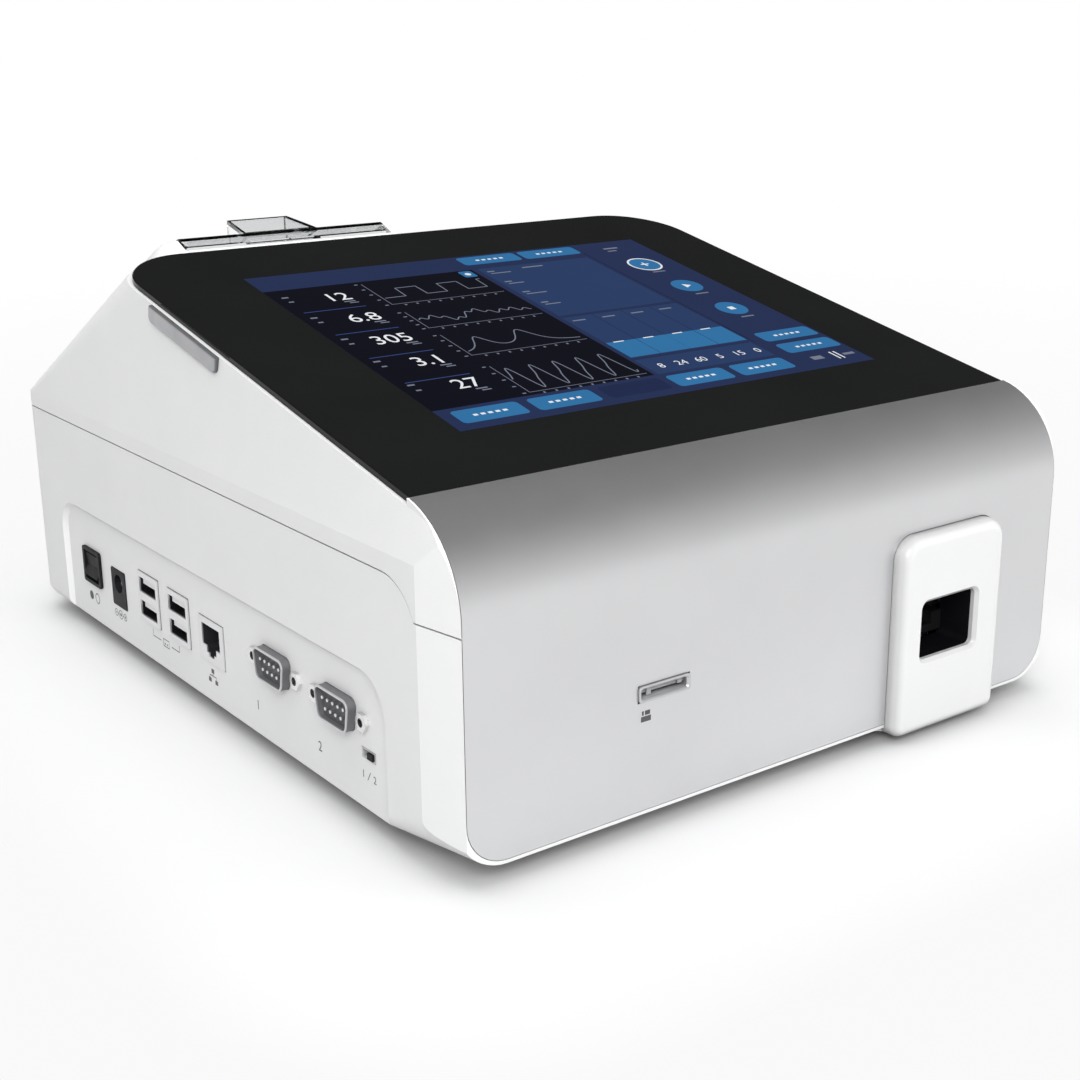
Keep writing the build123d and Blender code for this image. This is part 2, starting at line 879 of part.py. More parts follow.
def lamp_form(grow, start, depth):
    """The bar under the glass's left edge, sides moved out by `grow`, from `start` behind its face."""
    middle = lamp_start + lamp_length / 2
    place = top_plane(glass_thickness + lamp_gap + lamp_height / 2)
    centre = place.origin + place.y_dir * middle
    side = Plane((left + lamp_in + start, centre.Y, centre.Z), x_dir=-place.y_dir, z_dir=(-1, 0, 0))
    with BuildPart() as bar:
        with BuildSketch(side) as view:
            Rectangle(lamp_length + 2 * grow, lamp_height + 2 * grow)
            fillet(view.vertices().group_by(Axis.Y)[0], lamp_corner + grow)
        extrude(amount=-depth)
    return bar.part


with BuildPart() as roof_bosses:
    add(up_bosses)
    add(outer_form, mode=Mode.INTERSECT)

lamp_pocket = lamp_form(lamp_fit, 0, lamp_depth + lamp_back)
glass_recess = rounded_plan(
    case_width / 2 - top_taper - glass_rim + glass_gap,
    0,
    glass_length + glass_gap,
    glass_corner_radius + glass_gap,
)
with BuildPart() as upper_shell:
    add(outer_form)
    add(hump_outer)
    add(inner_form, mode=Mode.SUBTRACT)
    add(hump_inner, mode=Mode.SUBTRACT)
    with BuildSketch(top_plane(glass_thickness)):
        add(glass_recess)
    extrude(amount=4 * crest_rise, mode=Mode.SUBTRACT)
    add(below_seam, mode=Mode.SUBTRACT)
    add(roof_bosses.part)
    add(pilot_holes, mode=Mode.SUBTRACT)
    add(sheet_tool, mode=Mode.SUBTRACT)
    add(lamp_pocket, mode=Mode.SUBTRACT)
    with BuildSketch(top_plane(0)):
        with Locations((display_offset, display_middle)):
            RectangleRounded(
                display_width + 2 * display_gap,
                display_height + 2 * display_gap,
                display_corner + display_gap,
            )
    extrude(amount=-(glass_thickness + 2 * wall), mode=Mode.SUBTRACT)
    with BuildSketch(hump_plane(wall)):
        with Locations((0, hatch_end / 2)):
            Rectangle(cover_width + 2 * cover_gap, hatch_end)
    extrude(amount=-3 * wall, mode=Mode.SUBTRACT)
    with BuildSketch(Plane((printer_mid, hatch_front, crest_z + wall))):
        Rectangle(
            cover_width + 2 * cover_gap,
            crest_y - hatch_front + wall,
            align=(Align.CENTER, Align.MIN),
        )
    extrude(amount=-(cover_lip + 4 * wall), mode=Mode.SUBTRACT)
    pin_y, pin_z = hump_point(barrel_down, cover_proud - barrel_radius)
    with BuildSketch(Plane.YZ.offset(printer_mid)):
        with Locations((pin_y, pin_z)):
            Circle(hinge_pin_radius)
    extrude(amount=cover_width / 2 + hinge_pin_seat, both=True, mode=Mode.SUBTRACT)
upper_shell.part.label = "upper_shell"
export_step(upper_shell.part, "parts/upper_shell.step")

# Bent front sheet with its two openings
sheet_form = front_sheet_form(0)
with BuildPart() as front_cover:
    add(sheet_form)
    with BuildSketch(front_centre(bezel_mid, front - 1)):
        add(bezel_hole)
    extrude(amount=-(2 + sheet_thickness), mode=Mode.SUBTRACT)
    with BuildSketch(front_centre(left + slot_left + slot_width / 2, front - 1)):
        with Locations((0, base + slot_bottom + slot_height / 2)):
            Rectangle(slot_width + 2 * port_clearance, slot_height + 2 * port_clearance)
    extrude(amount=-(2 + sheet_thickness), mode=Mode.SUBTRACT)
front_cover.part.label = "front_cover"
export_step(front_cover.part, "parts/front_cover.step")

# Cover glass
with BuildPart() as touch_glass:
    with BuildSketch(top_plane(glass_thickness)) as glass_view:
        add(rounded_plan(case_width / 2 - top_taper - glass_rim, glass_gap, glass_length, glass_corner_radius))
    extrude(amount=glass_thickness)
    chamfer(touch_glass.faces().sort_by(Axis((0, 0, 0), top_plane(0).z_dir))[-1].edges(), glass_chamfer)
touch_glass.part.label = "touch_glass"
export_step(touch_glass.part, "parts/touch_glass.step")

# Display module and the sheet tray that carries it
display_top = glass_thickness + display_seat
with BuildPart() as lcd_panel:
    with BuildSketch(top_plane(display_top)):
        with Locations((display_offset, display_middle)):
            RectangleRounded(display_width, display_height, display_corner)
    extrude(amount=-display_thickness)
lcd_panel.part.label = "lcd_panel"
export_step(lcd_panel.part, "parts/lcd_panel.step")

tray_depth = display_top + display_thickness - glass_thickness - wall
bracket_width = display_width + 2 * bracket_sheet + display_gap
bracket_height = display_height + 2 * bracket_sheet + display_gap
with BuildPart() as lcd_bracket:
    with BuildSketch(top_plane(glass_thickness + wall)):
        with Locations((display_offset, display_middle)):
            RectangleRounded(
                display_width + 2 * bracket_flange,
                display_height + 2 * bracket_flange,
                bracket_corner,
            )
            Rectangle(display_width + display_gap, display_height + display_gap, mode=Mode.SUBTRACT)
    extrude(amount=-bracket_sheet)
    with BuildSketch(top_plane(glass_thickness + wall)):
        with Locations((display_offset, display_middle)):
            Rectangle(bracket_width, bracket_height)
            Rectangle(display_width + display_gap, display_height + display_gap, mode=Mode.SUBTRACT)
    extrude(amount=-(tray_depth + bracket_sheet))
    with BuildSketch(top_plane(glass_thickness + wall + tray_depth)):
        with Locations((display_offset, display_middle)):
            Rectangle(bracket_width, bracket_height)
            with GridLocations(bracket_slot_pitch, 0, bracket_slot_count, 1):
                SlotOverall(bracket_slot_length, bracket_slot_width, rotation=90, mode=Mode.SUBTRACT)
    extrude(amount=-bracket_sheet)
lcd_bracket.part.label = "lcd_bracket"
export_step(lcd_bracket.part, "parts/lcd_bracket.step")

# Clear side bar and the grey strip behind it
lamp_block = lamp_form(0, 0, lamp_depth)
lamp_hollow = lamp_form(-lamp_wall, lamp_face, lamp_depth)
lamp_bar = lamp_form(-lamp_wall - lamp_fit, lamp_face + lamp_fit, lamp_depth - lamp_face)
with BuildPart() as side_lens:
    add(lamp_block)
    add(lamp_hollow, mode=Mode.SUBTRACT)
    face = side_lens.faces().sort_by(Axis.X)[0]
    fillet(face.edges(), lamp_edge)
side_lens.part.label = "side_lens"
export_step(side_lens.part, "parts/side_lens.step")

with BuildPart() as side_lamp:
    add(lamp_bar)
side_lamp.part.label = "side_lamp"
export_step(side_lamp.part, "parts/side_lamp.step")

# Cassette bezel with its window, throat and the chin under the casing
bezel_shape = bezel_view(0)
chin_back = front + chin_depth
bezel_seat = front + sheet_thickness + sheet_gap
throat_y = front - bezel_out + window_rim
throat_width = window_width + 2 * throat_wall
throat_height = window_height + 2 * throat_wall
with BuildPart() as cassette_bezel:
    with BuildSketch(front_centre(bezel_mid, front - bezel_out)):
        add(bezel_shape)
    extrude(amount=-(bezel_out + sheet_thickness + sheet_gap))
    rim = cassette_bezel.faces().sort_by(Axis.Y)[0]
    fillet(rim.edges(), bezel_edge)
    with BuildSketch(front_centre(bezel_mid, bezel_seat)):
        with BuildLine():
            half = bezel_width / 2
            Line((-half - chin_flare, base), (half + chin_flare, base))
            ThreePointArc(
                (half + chin_flare, base),
                (half + chin_flare * chin_bend, base - bezel_drop * chin_sag),
                (half - bezel_bottom_corner, base - bezel_drop),
            )
            Line((half - bezel_bottom_corner, base - bezel_drop), (bezel_bottom_corner - half, base - bezel_drop))
            ThreePointArc(
                (bezel_bottom_corner - half, base - bezel_drop),
                (-half - chin_flare * chin_bend, base - bezel_drop * chin_sag),
                (-half - chin_flare, base),
            )
        make_face()
    extrude(amount=-(chin_back - bezel_seat))
    with BuildSketch(front_centre(window_mid, front - bezel_out)):
        with Locations((0, window_z)):
            RectangleRounded(window_width, window_height, window_corner)
    extrude(amount=-(bezel_out + chin_depth), mode=Mode.SUBTRACT)
    with BuildSketch(front_centre(window_mid, throat_y)):
        with Locations((0, window_z)):
            Rectangle(throat_width + 2 * port_clearance, throat_height + 2 * port_clearance)
    extrude(amount=-(bezel_out + chin_depth), mode=Mode.SUBTRACT)
    mouth = cassette_bezel.faces().sort_by(Axis.Y)[0].inner_wires()[0]
    chamfer(mouth.edges(), window_bevel)
cassette_bezel.part.label = "cassette_bezel"
export_step(cassette_bezel.part, "parts/cassette_bezel.step")

# Dark throat that leads the tray from the window into the casing
with BuildPart() as cassette_throat:
    with BuildSketch(front_centre(window_mid, throat_y)):
        with Locations((0, window_z)):
            Rectangle(throat_width, throat_height)
            RectangleRounded(window_width, window_height, window_corner, mode=Mode.SUBTRACT)
    extrude(amount=-(front + throat_length - throat_y))
cassette_throat.part.label = "cassette_throat"
export_step(cassette_throat.part, "parts/cassette_throat.step")

# Card slot: metal rim through the front sheet, and the socket behind it
slot_mid = left + slot_left + slot_width / 2
slot_z = base + slot_bottom + slot_height / 2
slot_back = inner_front + sheet_gap
with BuildPart() as card_slot_frame:
    with BuildSketch(front_centre(slot_mid, front - slot_out)):
        with Locations((0, slot_z)):
            RectangleRounded(slot_width, slot_height, slot_corner)
    extrude(amount=-(slot_back - front + slot_out))
    with BuildSketch(front_centre(slot_mid, front - slot_out)):
        with Locations((0, slot_z)):
            RectangleRounded(slot_width - 2 * slot_rim, slot_height - 2 * slot_rim, slot_inner_corner)
    extrude(amount=-(slot_back - front + slot_out), mode=Mode.SUBTRACT)
    slot_mouth = card_slot_frame.faces().sort_by(Axis.Y)[0].inner_wires()[0]
    chamfer(slot_mouth.edges(), slot_bevel)
card_slot_frame.part.label = "card_slot_frame"
export_step(card_slot_frame.part, "parts/card_slot_frame.step")

with BuildPart() as card_socket:
    with BuildSketch(front_centre(slot_mid, slot_back)):
        with Locations((0, slot_z)):
            RectangleRounded(slot_width + 2 * socket_side, slot_height + 2 * socket_over, socket_corner)
    extrude(amount=-socket_depth)
    with BuildSketch(front_centre(slot_mid, slot_back)):
        with Locations((0, slot_z)):
            Rectangle(card_width, card_gap)
    extrude(amount=-(socket_depth - socket_end), mode=Mode.SUBTRACT)
    with BuildSketch(Plane.XY.offset(base + wall)):
        with Locations((slot_mid, slot_back + socket_depth / 2)):
            Rectangle(slot_width, socket_depth - 2 * socket_foot_in)
    extrude(amount=slot_z - slot_height / 2 - base - wall)
card_socket.part.label = "card_socket"
export_step(card_socket.part, "parts/card_socket.step")

# Rubber feet and case screws
with BuildPart() as rubber_feet:
    with Locations(*[(x, y, 0) for x, y in foot_points]):
        Cylinder(foot_radius, foot_height, align=standing)
    chamfer(rubber_feet.faces().group_by(Axis.Z)[0].edges(), foot_chamfer)
    with Locations(*[(x, y, foot_height) for x, y in foot_points]):
        Cylinder(foot_stud - running_gap, wall, align=standing)
rubber_feet.part.label = "rubber_feet"
export_step(rubber_feet.part, "parts/rubber_feet.step")

with BuildPart() as case_screws:
    with Locations(*[(x, y, screw_seat) for x, y in screw_points]):
        Cylinder(screw_head_radius, screw_head_height, align=hanging)
        Cylinder(screw_radius, boss_split + screw_bite - screw_seat, align=standing)
    with Locations(*[(x, y, screw_seat - screw_head_height) for x, y in screw_points]):
        Cylinder(socket_radius, socket_drop, align=standing, mode=Mode.SUBTRACT)
case_screws.part.label = "case_screws"
export_step(case_screws.part, "parts/case_screws.step")

# Main board and what is soldered to it
board_z = base + board_top
with BuildPart() as main_board:
    with BuildSketch(Plane.XY.offset(board_z - board_thickness)):
        with Locations((board_left, front + board_front)):
            Rectangle(
                board_right - board_left,
                board_rear - front - board_front,
                align=(Align.MIN, Align.MIN),
            )
        with Locations(*board_posts):
            Circle(board_screw, mode=Mode.SUBTRACT)
    extrude(amount=board_thickness)
main_board.part.label = "main_board"
export_step(main_board.part, "parts/main_board.step")

with BuildPart() as board_parts:
    with Locations((board_mid + chip_shift, front + chip_y, board_z)):
        Box(chip_size, chip_size, chip_thickness, align=standing)
    with Locations((board_mid + chip_shift, front + chip_y, board_z + chip_thickness)):
        with GridLocations(fin_pitch, 0, fin_count, 1):
            Box(fin_thickness, chip_size - 2 * fin_inset, fin_height, align=standing)
    with Locations(*[(board_mid + chip_shift + x, front + memory_y, board_z) for x in (0, 1.5 * memory_width)]):
        Box(memory_width, memory_length, memory_thickness, align=standing)
    with Locations((board_mid + chip_size / 2, front + capacitor_y, board_z)):
        with GridLocations(capacitor_pitch, 0, 4, 1):
            Cylinder(capacitor_radius, capacitor_height, align=standing)
board_parts.part.label = "board_parts"
export_step(board_parts.part, "parts/board_parts.step")

# Power switch in the port panel


def port_plane(y, out):
    """Plane in front of the port panel, `out` ahead of it, with its origin at `y` on the floor."""
    return Plane((panel_x - out, y, 0), x_dir=(0, -1, 0), z_dir=(-1, 0, 0))


pivot_x = panel_x + 2.0
pivot_y = front + switch_y
pivot_z = base + switch_z
cavity_half = hypot(rocker_half, rocker_rise) + 0.2
with BuildPart() as power_switch_body:
    with BuildSketch(port_plane(pivot_y, switch_flange)):
        with Locations((0, pivot_z)):
            RectangleRounded(switch_width, switch_height, 1.0)
    extrude(amount=-switch_flange)
    with BuildSketch(port_plane(pivot_y, 0)):
        with Locations((0, pivot_z)):
            Rectangle(switch_width - 2 * switch_lip, switch_height - 2 * switch_lip)
    extrude(amount=-switch_depth)
    with BuildSketch(port_plane(pivot_y, switch_flange)):
        with Locations((0, pivot_z)):
            Rectangle(rocker_width + 0.4, 2 * cavity_half)
    extrude(amount=-(switch_flange + 8), mode=Mode.SUBTRACT)
    with Locations(*[(panel_x + switch_depth + 2.5, pivot_y + side * 3, pivot_z) for side in (-1, 1)]):
        Box(5, 0.8, 4.5)
power_switch_body.part.label = "power_switch_body"
export_step(power_switch_body.part, "parts/power_switch_body.step")

rocker_lean = radians(rocker_tilt)
rocker_plane = Plane(
    (pivot_x, pivot_y, pivot_z),
    x_dir=(sin(rocker_lean), 0, cos(rocker_lean)),
    z_dir=(0, 1, 0),
)
with BuildPart() as power_rocker:
    with BuildSketch(rocker_plane):
        with BuildLine():
            Polyline(
                (-rocker_half, -0.4),
                (-rocker_half, -rocker_rise),
                (0, 0.8 - rocker_rise),
                (rocker_half, -rocker_rise),
                (rocker_half, -0.4),
                close=True,
            )
        make_face()
        Circle(2.0)
    extrude(amount=rocker_width / 2, both=True)
power_rocker.part.label = "power_rocker"
export_step(power_rocker.part, "parts/power_rocker.step")

# Connectors on the board's left edge
inside_x = left + wall


with BuildPart() as dc_jack:
    with BuildSketch(port_plane(front + dc_y, 0.3)):
        with Locations((0, board_z + dc_height / 2)):
            RectangleRounded(dc_width, dc_height, 0.6)
    extrude(amount=-dc_depth)
    with BuildSketch(port_plane(front + dc_y, 0.3)):
        with Locations((0, board_z + dc_height / 2 + dc_hole_rise)):
            Circle(dc_hole_radius)
    extrude(amount=-dc_hole_depth, mode=Mode.SUBTRACT)
dc_jack.part.label = "dc_jack"
export_step(dc_jack.part, "parts/dc_jack.step")

with BuildPart() as dc_pin:
    with BuildSketch(port_plane(front + dc_y, 0.3 - dc_hole_depth)):
        with Locations((0, board_z + dc_height / 2 + dc_hole_rise)):
            Circle(dc_pin_radius)
    extrude(amount=dc_hole_depth - 1.2)
    fillet(dc_pin.faces().sort_by(Axis.X)[0].edges(), 0.4)
dc_pin.part.label = "dc_pin"
export_step(dc_pin.part, "parts/dc_pin.step")

usb_mouths = [base + usb_z + side * usb_mouth_pitch / 2 for side in (-1, 1)]
with BuildPart() as usb_shells:
    for y in usb_ys:
        with BuildSketch(port_plane(front + y, 0.6)):
            with Locations((0, base + usb_z)):
                RectangleRounded(usb_width, usb_height, 0.7)
            with Locations(*[(0, z) for z in usb_mouths]):
                Rectangle(usb_mouth_width, usb_mouth_height, mode=Mode.SUBTRACT)
        extrude(amount=-(usb_depth - 2))
        with BuildSketch(port_plane(front + y, 2.6 - usb_depth)):
            with Locations((0, base + usb_z)):
                Rectangle(usb_width, usb_height)
        extrude(amount=-2)
        with BuildSketch(port_plane(front + y, panel_x - inside_x)):
            with Locations((0, (base + usb_z - usb_height / 2 + board_z) / 2)):
                Rectangle(usb_width, base + usb_z - usb_height / 2 - board_z)
        extrude(amount=-(usb_depth - 4))
usb_shells.part.label = "usb_shells"
export_step(usb_shells.part, "parts/usb_shells.step")

with BuildPart() as usb_tongues:
    with BuildSketch(port_plane(front, 0.6 - 1.2)):
        with Locations(*[(-y, z + 0.9) for y in usb_ys for z in usb_mouths]):
            Rectangle(usb_tongue_width, usb_tongue_height)
    extrude(amount=-(usb_depth - 3.2))
usb_tongues.part.label = "usb_tongues"
export_step(usb_tongues.part, "parts/usb_tongues.step")

lan_mouth_z = base + lan_z + 1.6
lan_plane = port_plane(front + lan_y, 0.4)
with BuildPart() as lan_jack:
    with BuildSketch(lan_plane):
        with Locations((0, base + lan_z)):
            RectangleRounded(lan_width, lan_height, 0.4)
    extrude(amount=-lan_depth)
    with BuildSketch(port_plane(front + lan_y, panel_x - inside_x)):
        with Locations((0, (base + lan_z - lan_height / 2 + board_z) / 2)):
            Rectangle(lan_width, base + lan_z - lan_height / 2 - board_z)
    extrude(amount=-(lan_depth - 4))
    with BuildSketch(lan_plane):
        with Locations((0, lan_mouth_z)):
            Rectangle(lan_mouth_width, lan_mouth_height)
        with Locations((0, lan_mouth_z - lan_mouth_height / 2 - 1.0)):
            Rectangle(6.4, 2.2)
        with Locations((0, lan_mouth_z - lan_mouth_height / 2 - 2.6)):
            Rectangle(3.4, 1.2)
    extrude(amount=-lan_mouth_depth, mode=Mode.SUBTRACT)
lan_jack.part.label = "lan_jack"
export_step(lan_jack.part, "parts/lan_jack.step")

with BuildPart() as lan_contacts:
    with BuildSketch(port_plane(front + lan_y, 0.4 - 3.0)):
        with Locations((0, lan_mouth_z + lan_mouth_height / 2 - 0.6)):
            with GridLocations(1.02, 0, 8, 1):
                Rectangle(0.4, 1.2)
    extrude(amount=-(lan_mouth_depth - 3.0))
lan_contacts.part.label = "lan_contacts"
export_step(lan_contacts.part, "parts/lan_contacts.step")

flange_out = panel_x - inside_x - serial_flange_gap
flange_thickness = serial_flange_thickness
hole_width = serial_shell_width - 2 * serial_shell_wall
hole_height = serial_shell_height - 2 * serial_shell_wall
shell_hole = dee(hole_width, hole_height, serial_inner_corner)
shell_rim = dee(serial_shell_width, serial_shell_height, serial_corner)
insert_view = dee(hole_width - 2 * running_gap, hole_height - 2 * running_gap, serial_inner_corner)
serial_centres = [(-front - y, base + serial_z) for y in serial_ys]
nut_centres = [
    (y + side * serial_nut_spacing / 2, z) for y, z in serial_centres for side in (-1, 1)
]
with BuildPart() as serial_shells:
    with BuildSketch(port_plane(0, serial_shell_out)):
        with Locations(*serial_centres):
            add(shell_rim)
            add(shell_hole, mode=Mode.SUBTRACT)
    extrude(amount=-(serial_shell_out - flange_out))
    with BuildSketch(port_plane(0, flange_out)):
        with Locations(*serial_centres):
            RectangleRounded(serial_flange_width, serial_flange_height, serial_flange_corner)
            add(shell_hole, mode=Mode.SUBTRACT)
        with Locations(*nut_centres):
            Circle(serial_nut_hole, mode=Mode.SUBTRACT)
    extrude(amount=-flange_thickness)
serial_shells.part.label = "serial_shells"
export_step(serial_shells.part, "parts/serial_shells.step")

pin_centres = [
    (y + (i - (serial_pin_count - row - 1) / 2) * serial_pin_pitch, z + (0.5 - row) * serial_row_pitch)
    for y, z in serial_centres
    for row in range(2)
    for i in range(serial_pin_count - row)
]
with BuildPart() as serial_inserts:
    with BuildSketch(port_plane(0, serial_insert_out)):
        with Locations(*serial_centres):
            add(insert_view)
    extrude(amount=-(serial_insert_out - flange_out + flange_thickness))
    with BuildSketch(port_plane(0, flange_out - flange_thickness)):
        with Locations(*serial_centres):
            Rectangle(serial_shell_width + 2 * serial_body_over, serial_shell_height + 2 * serial_body_over)
    extrude(amount=-serial_body_depth)
    body_low = base + serial_z - serial_shell_height / 2 - serial_body_over
    with BuildSketch(port_plane(0, flange_out - flange_thickness - serial_post_in)):
        with Locations(*[(y, (body_low + board_z) / 2) for y, z in serial_centres]):
            Rectangle(serial_shell_width, body_low - board_z)
    extrude(amount=serial_post_in - serial_body_depth)
serial_inserts.part.label = "serial_inserts"
export_step(serial_inserts.part, "parts/serial_inserts.step")

with BuildPart() as serial_pins:
    with BuildSketch(port_plane(0, serial_insert_out)):
        with Locations(*pin_centres):
            RegularPolygon(serial_pin_radius, serial_pin_sides)
    extrude(amount=serial_pin_length)
serial_pins.part.label = "serial_pins"
export_step(serial_pins.part, "parts/serial_pins.step")

with BuildPart() as jack_nuts:
    with BuildSketch(port_plane(0, nut_out)):
        with Locations(*nut_centres):
            RegularPolygon(nut_flats / 2, 6, major_radius=False)
    extrude(amount=-nut_out)
    with BuildSketch(port_plane(0, 0)):
        with Locations(*nut_centres):
            Circle(serial_nut_hole - running_gap)
    extrude(amount=-(flange_thickness - flange_out + nut_collar))
    with BuildSketch(port_plane(0, nut_out)):
        with Locations(*nut_centres):
            Circle(nut_hole_radius)
    extrude(amount=-nut_hole_depth, mode=Mode.SUBTRACT)
jack_nuts.part.label = "jack_nuts"
export_step(jack_nuts.part, "parts/jack_nuts.step")

# Small slide switch at the front end of the panel
mode_centre = base + mode_z
with BuildPart() as mode_switch_body:
    with BuildSketch(port_plane(front + mode_y, 0)):
        with Locations((0, mode_centre)):
            Rectangle(mode_width, mode_height)
    extrude(amount=-mode_depth)
    with BuildSketch(port_plane(front + mode_y, 0)):
        with Locations((0, mode_centre)):
            Rectangle(mode_width - 2 * mode_rim, mode_height - 2 * mode_rim_high)
    extrude(amount=-mode_floor, mode=Mode.SUBTRACT)
    with BuildSketch(port_plane(front + mode_y, panel_x - inside_x - mode_rim)):
        with Locations((0, (mode_centre - mode_height / 2 + board_z) / 2)):
            Rectangle(mode_width, mode_centre - mode_height / 2 - board_z)
    extrude(amount=-mode_post)
mode_switch_body.part.label = "mode_switch_body"
export_step(mode_switch_body.part, "parts/mode_switch_body.step")

with BuildPart() as mode_slider:
    with BuildSketch(port_plane(front + mode_y, slider_out)):
        with Locations((mode_width / 2 - mode_rim - slider_gap - slider_width / 2, mode_centre)):
            Rectangle(slider_width, mode_height - 2 * mode_rim_high - 2 * slider_gap)
    extrude(amount=-(slider_out + mode_floor - slider_gap))
mode_slider.part.label = "mode_slider"
export_step(mode_slider.part, "parts/mode_slider.step")

# Chassis plate, guide rods and their blocks
chassis_z = base + chassis_height
plate_slot_length = chassis_rear - chassis_front - 2 * plate_slot_end
with BuildPart() as base_plate:
    with BuildSketch(Plane.XY.offset(chassis_z)):
        with Locations((chassis_left, chassis_front)):
            Rectangle(chassis_right - chassis_left, chassis_rear - chassis_front, align=(Align.MIN, Align.MIN))
        with Locations((window_mid, (chassis_front + chassis_rear) / 2)):
            SlotOverall(plate_slot_length, plate_slot, rotation=90, mode=Mode.SUBTRACT)
        with Locations((chassis_right, chassis_front)):
            Rectangle(2 * notch_width, 2 * notch_length, mode=Mode.SUBTRACT)
    extrude(amount=chassis_sheet)
base_plate.part.label = "base_plate"
export_step(base_plate.part, "parts/base_plate.step")

deck_z = chassis_z + chassis_sheet
rod_z = base + rod_height
rod_xs = (window_mid - rod_offset, window_mid + rod_offset)
rod_ends = (front + rod_front, front + rod_rear)
with BuildPart() as guide_rods:
    with BuildSketch(front_centre(0, rod_ends[0])):
        with Locations(*[(x, rod_z) for x in rod_xs]):
            Circle(rod_radius)
    extrude(amount=rod_ends[0] - rod_ends[1])
    chamfer(guide_rods.edges().filter_by(GeomType.CIRCLE), rod_chamfer)
guide_rods.part.label = "guide_rods"
export_step(guide_rods.part, "parts/guide_rods.step")

with BuildPart() as rod_blocks:
    for y in (rod_ends[0] + block_in, rod_ends[1] - block_in - block_length):
        with BuildSketch(front_centre(0, y)):
            with Locations(*[(x, (deck_z + rod_z) / 2) for x in rod_xs]):
                Rectangle(block_width, rod_z - deck_z)
            with Locations(*[(x, rod_z) for x in rod_xs]):
                Circle(block_width / 2)
                Circle(rod_radius + running_gap, mode=Mode.SUBTRACT)
        extrude(amount=-block_length)
rod_blocks.part.label = "rod_blocks"
export_step(rod_blocks.part, "parts/rod_blocks.step")

# Carriage on four bushes, with the cassette tray and the rack
carriage_y = front + carriage_front
carriage_z = base + carriage_bottom
tray_z = base + tray_bottom
with BuildPart() as carriage:
    with BuildSketch(Plane.XY.offset(carriage_z)):
        with Locations((window_mid, carriage_y)):
            Rectangle(2 * carriage_half, carriage_length, align=(Align.CENTER, Align.MIN))
        with Locations((window_mid, carriage_y + carriage_length / 2)):
            RectangleRounded(
                carriage_window,
                carriage_length - 2 * carriage_bridge,
                carriage_corner,
                mode=Mode.SUBTRACT,
            )
    extrude(amount=tray_z - carriage_z)
    with BuildSketch(front_centre(0, carriage_y)):
        with Locations(*[(x, rod_z) for x in rod_xs]):
            Circle(bush_radius + running_gap)
    extrude(amount=-carriage_length, mode=Mode.SUBTRACT)
carriage.part.label = "carriage"
export_step(carriage.part, "parts/carriage.step")

with BuildPart() as guide_bushes:
    for y in (carriage_y, carriage_y + carriage_length - bush_length):
        with BuildSketch(front_centre(0, y)):
            with Locations(*[(x, rod_z) for x in rod_xs]):
                Circle(bush_radius)
                Circle(rod_radius + running_gap, mode=Mode.SUBTRACT)
        extrude(amount=-bush_length)
guide_bushes.part.label = "guide_bushes"
export_step(guide_bushes.part, "parts/guide_bushes.step")

with BuildPart() as cassette_tray:
    with BuildSketch(Plane.XY.offset(tray_z)):
        with Locations((window_mid, front + tray_front)):
            Rectangle(tray_width, tray_length, align=(Align.CENTER, Align.MIN))
    extrude(amount=tray_height)
    with BuildSketch(Plane.XY.offset(tray_z + tray_height - pocket_depth)):
        with Locations((window_mid, front + tray_front + pocket_margin + pocket_length / 2)):
            RectangleRounded(pocket_width, pocket_length, pocket_corner)
        with Locations((window_mid, front + tray_front)):
            Circle(finger_radius)
    extrude(amount=pocket_depth, mode=Mode.SUBTRACT)
    with BuildSketch(Plane.XY.offset(tray_z + tray_height - relief_depth)):
        with Locations((window_mid, front + tray_front + tray_length - relief_end - relief_length / 2)):
            RectangleRounded(tray_width - 2 * tray_rib, relief_length, pocket_corner)
    extrude(amount=relief_depth, mode=Mode.SUBTRACT)
    lead = cassette_tray.edges().filter_by(Axis.Z).group_by(Axis.Y)[0]
    chamfer(lead.sort_by(Axis.X)[0], tray_chamfer)
cassette_tray.part.label = "cassette_tray"
export_step(cassette_tray.part, "parts/cassette_tray.step")

# Rack on the carriage's left flank and the pinion that drives it
rack_pitch = pi * drive_module
pinion_radius = pinion_teeth * drive_module / 2
rack_line = window_mid - carriage_half - rack_width + drive_module
pinion_x = rack_line - pinion_radius
pinion_y_place = front + pinion_y
rack_start = -rack_margin
rack_end = carrier_travel + rack_margin
rack_low = carriage_z + rack_rise
tooth_half = rack_pitch / 4 - rack_backlash
rack_first = int(rack_start / rack_pitch)
rack_count = int((rack_end - rack_first * rack_pitch) / rack_pitch)
tooth_lean = tan(radians(20))
with BuildPart() as carrier_rack:
    with BuildSketch(Plane.XY.offset(rack_low)):
        with BuildLine():
            root_x = rack_line + tooth_root * drive_module
            tip_x = rack_line - tooth_tip * drive_module
            root_half = tooth_half + tooth_root * drive_module * tooth_lean
            tip_half = tooth_half - tooth_tip * drive_module * tooth_lean
            start = Line((window_mid - carriage_half, pinion_y_place + rack_start), (root_x, pinion_y_place + rack_start))
            last = start @ 1
            for tooth in range(rack_count):
                y = pinion_y_place + (rack_first + tooth + 0.5) * rack_pitch
                teeth = Polyline(
                    last,
                    (root_x, y - root_half),
                    (tip_x, y - tip_half),
                    (tip_x, y + tip_half),
                    (root_x, y + root_half),
                )
                last = teeth @ 1
            Polyline(
                last,
                (root_x, pinion_y_place + rack_end),
                (window_mid - carriage_half, pinion_y_place + rack_end),
                start @ 0,
            )
        make_face()
    extrude(amount=rack_height)
carrier_rack.part.label = "carrier_rack"
export_step(carrier_rack.part, "parts/carrier_rack.step")

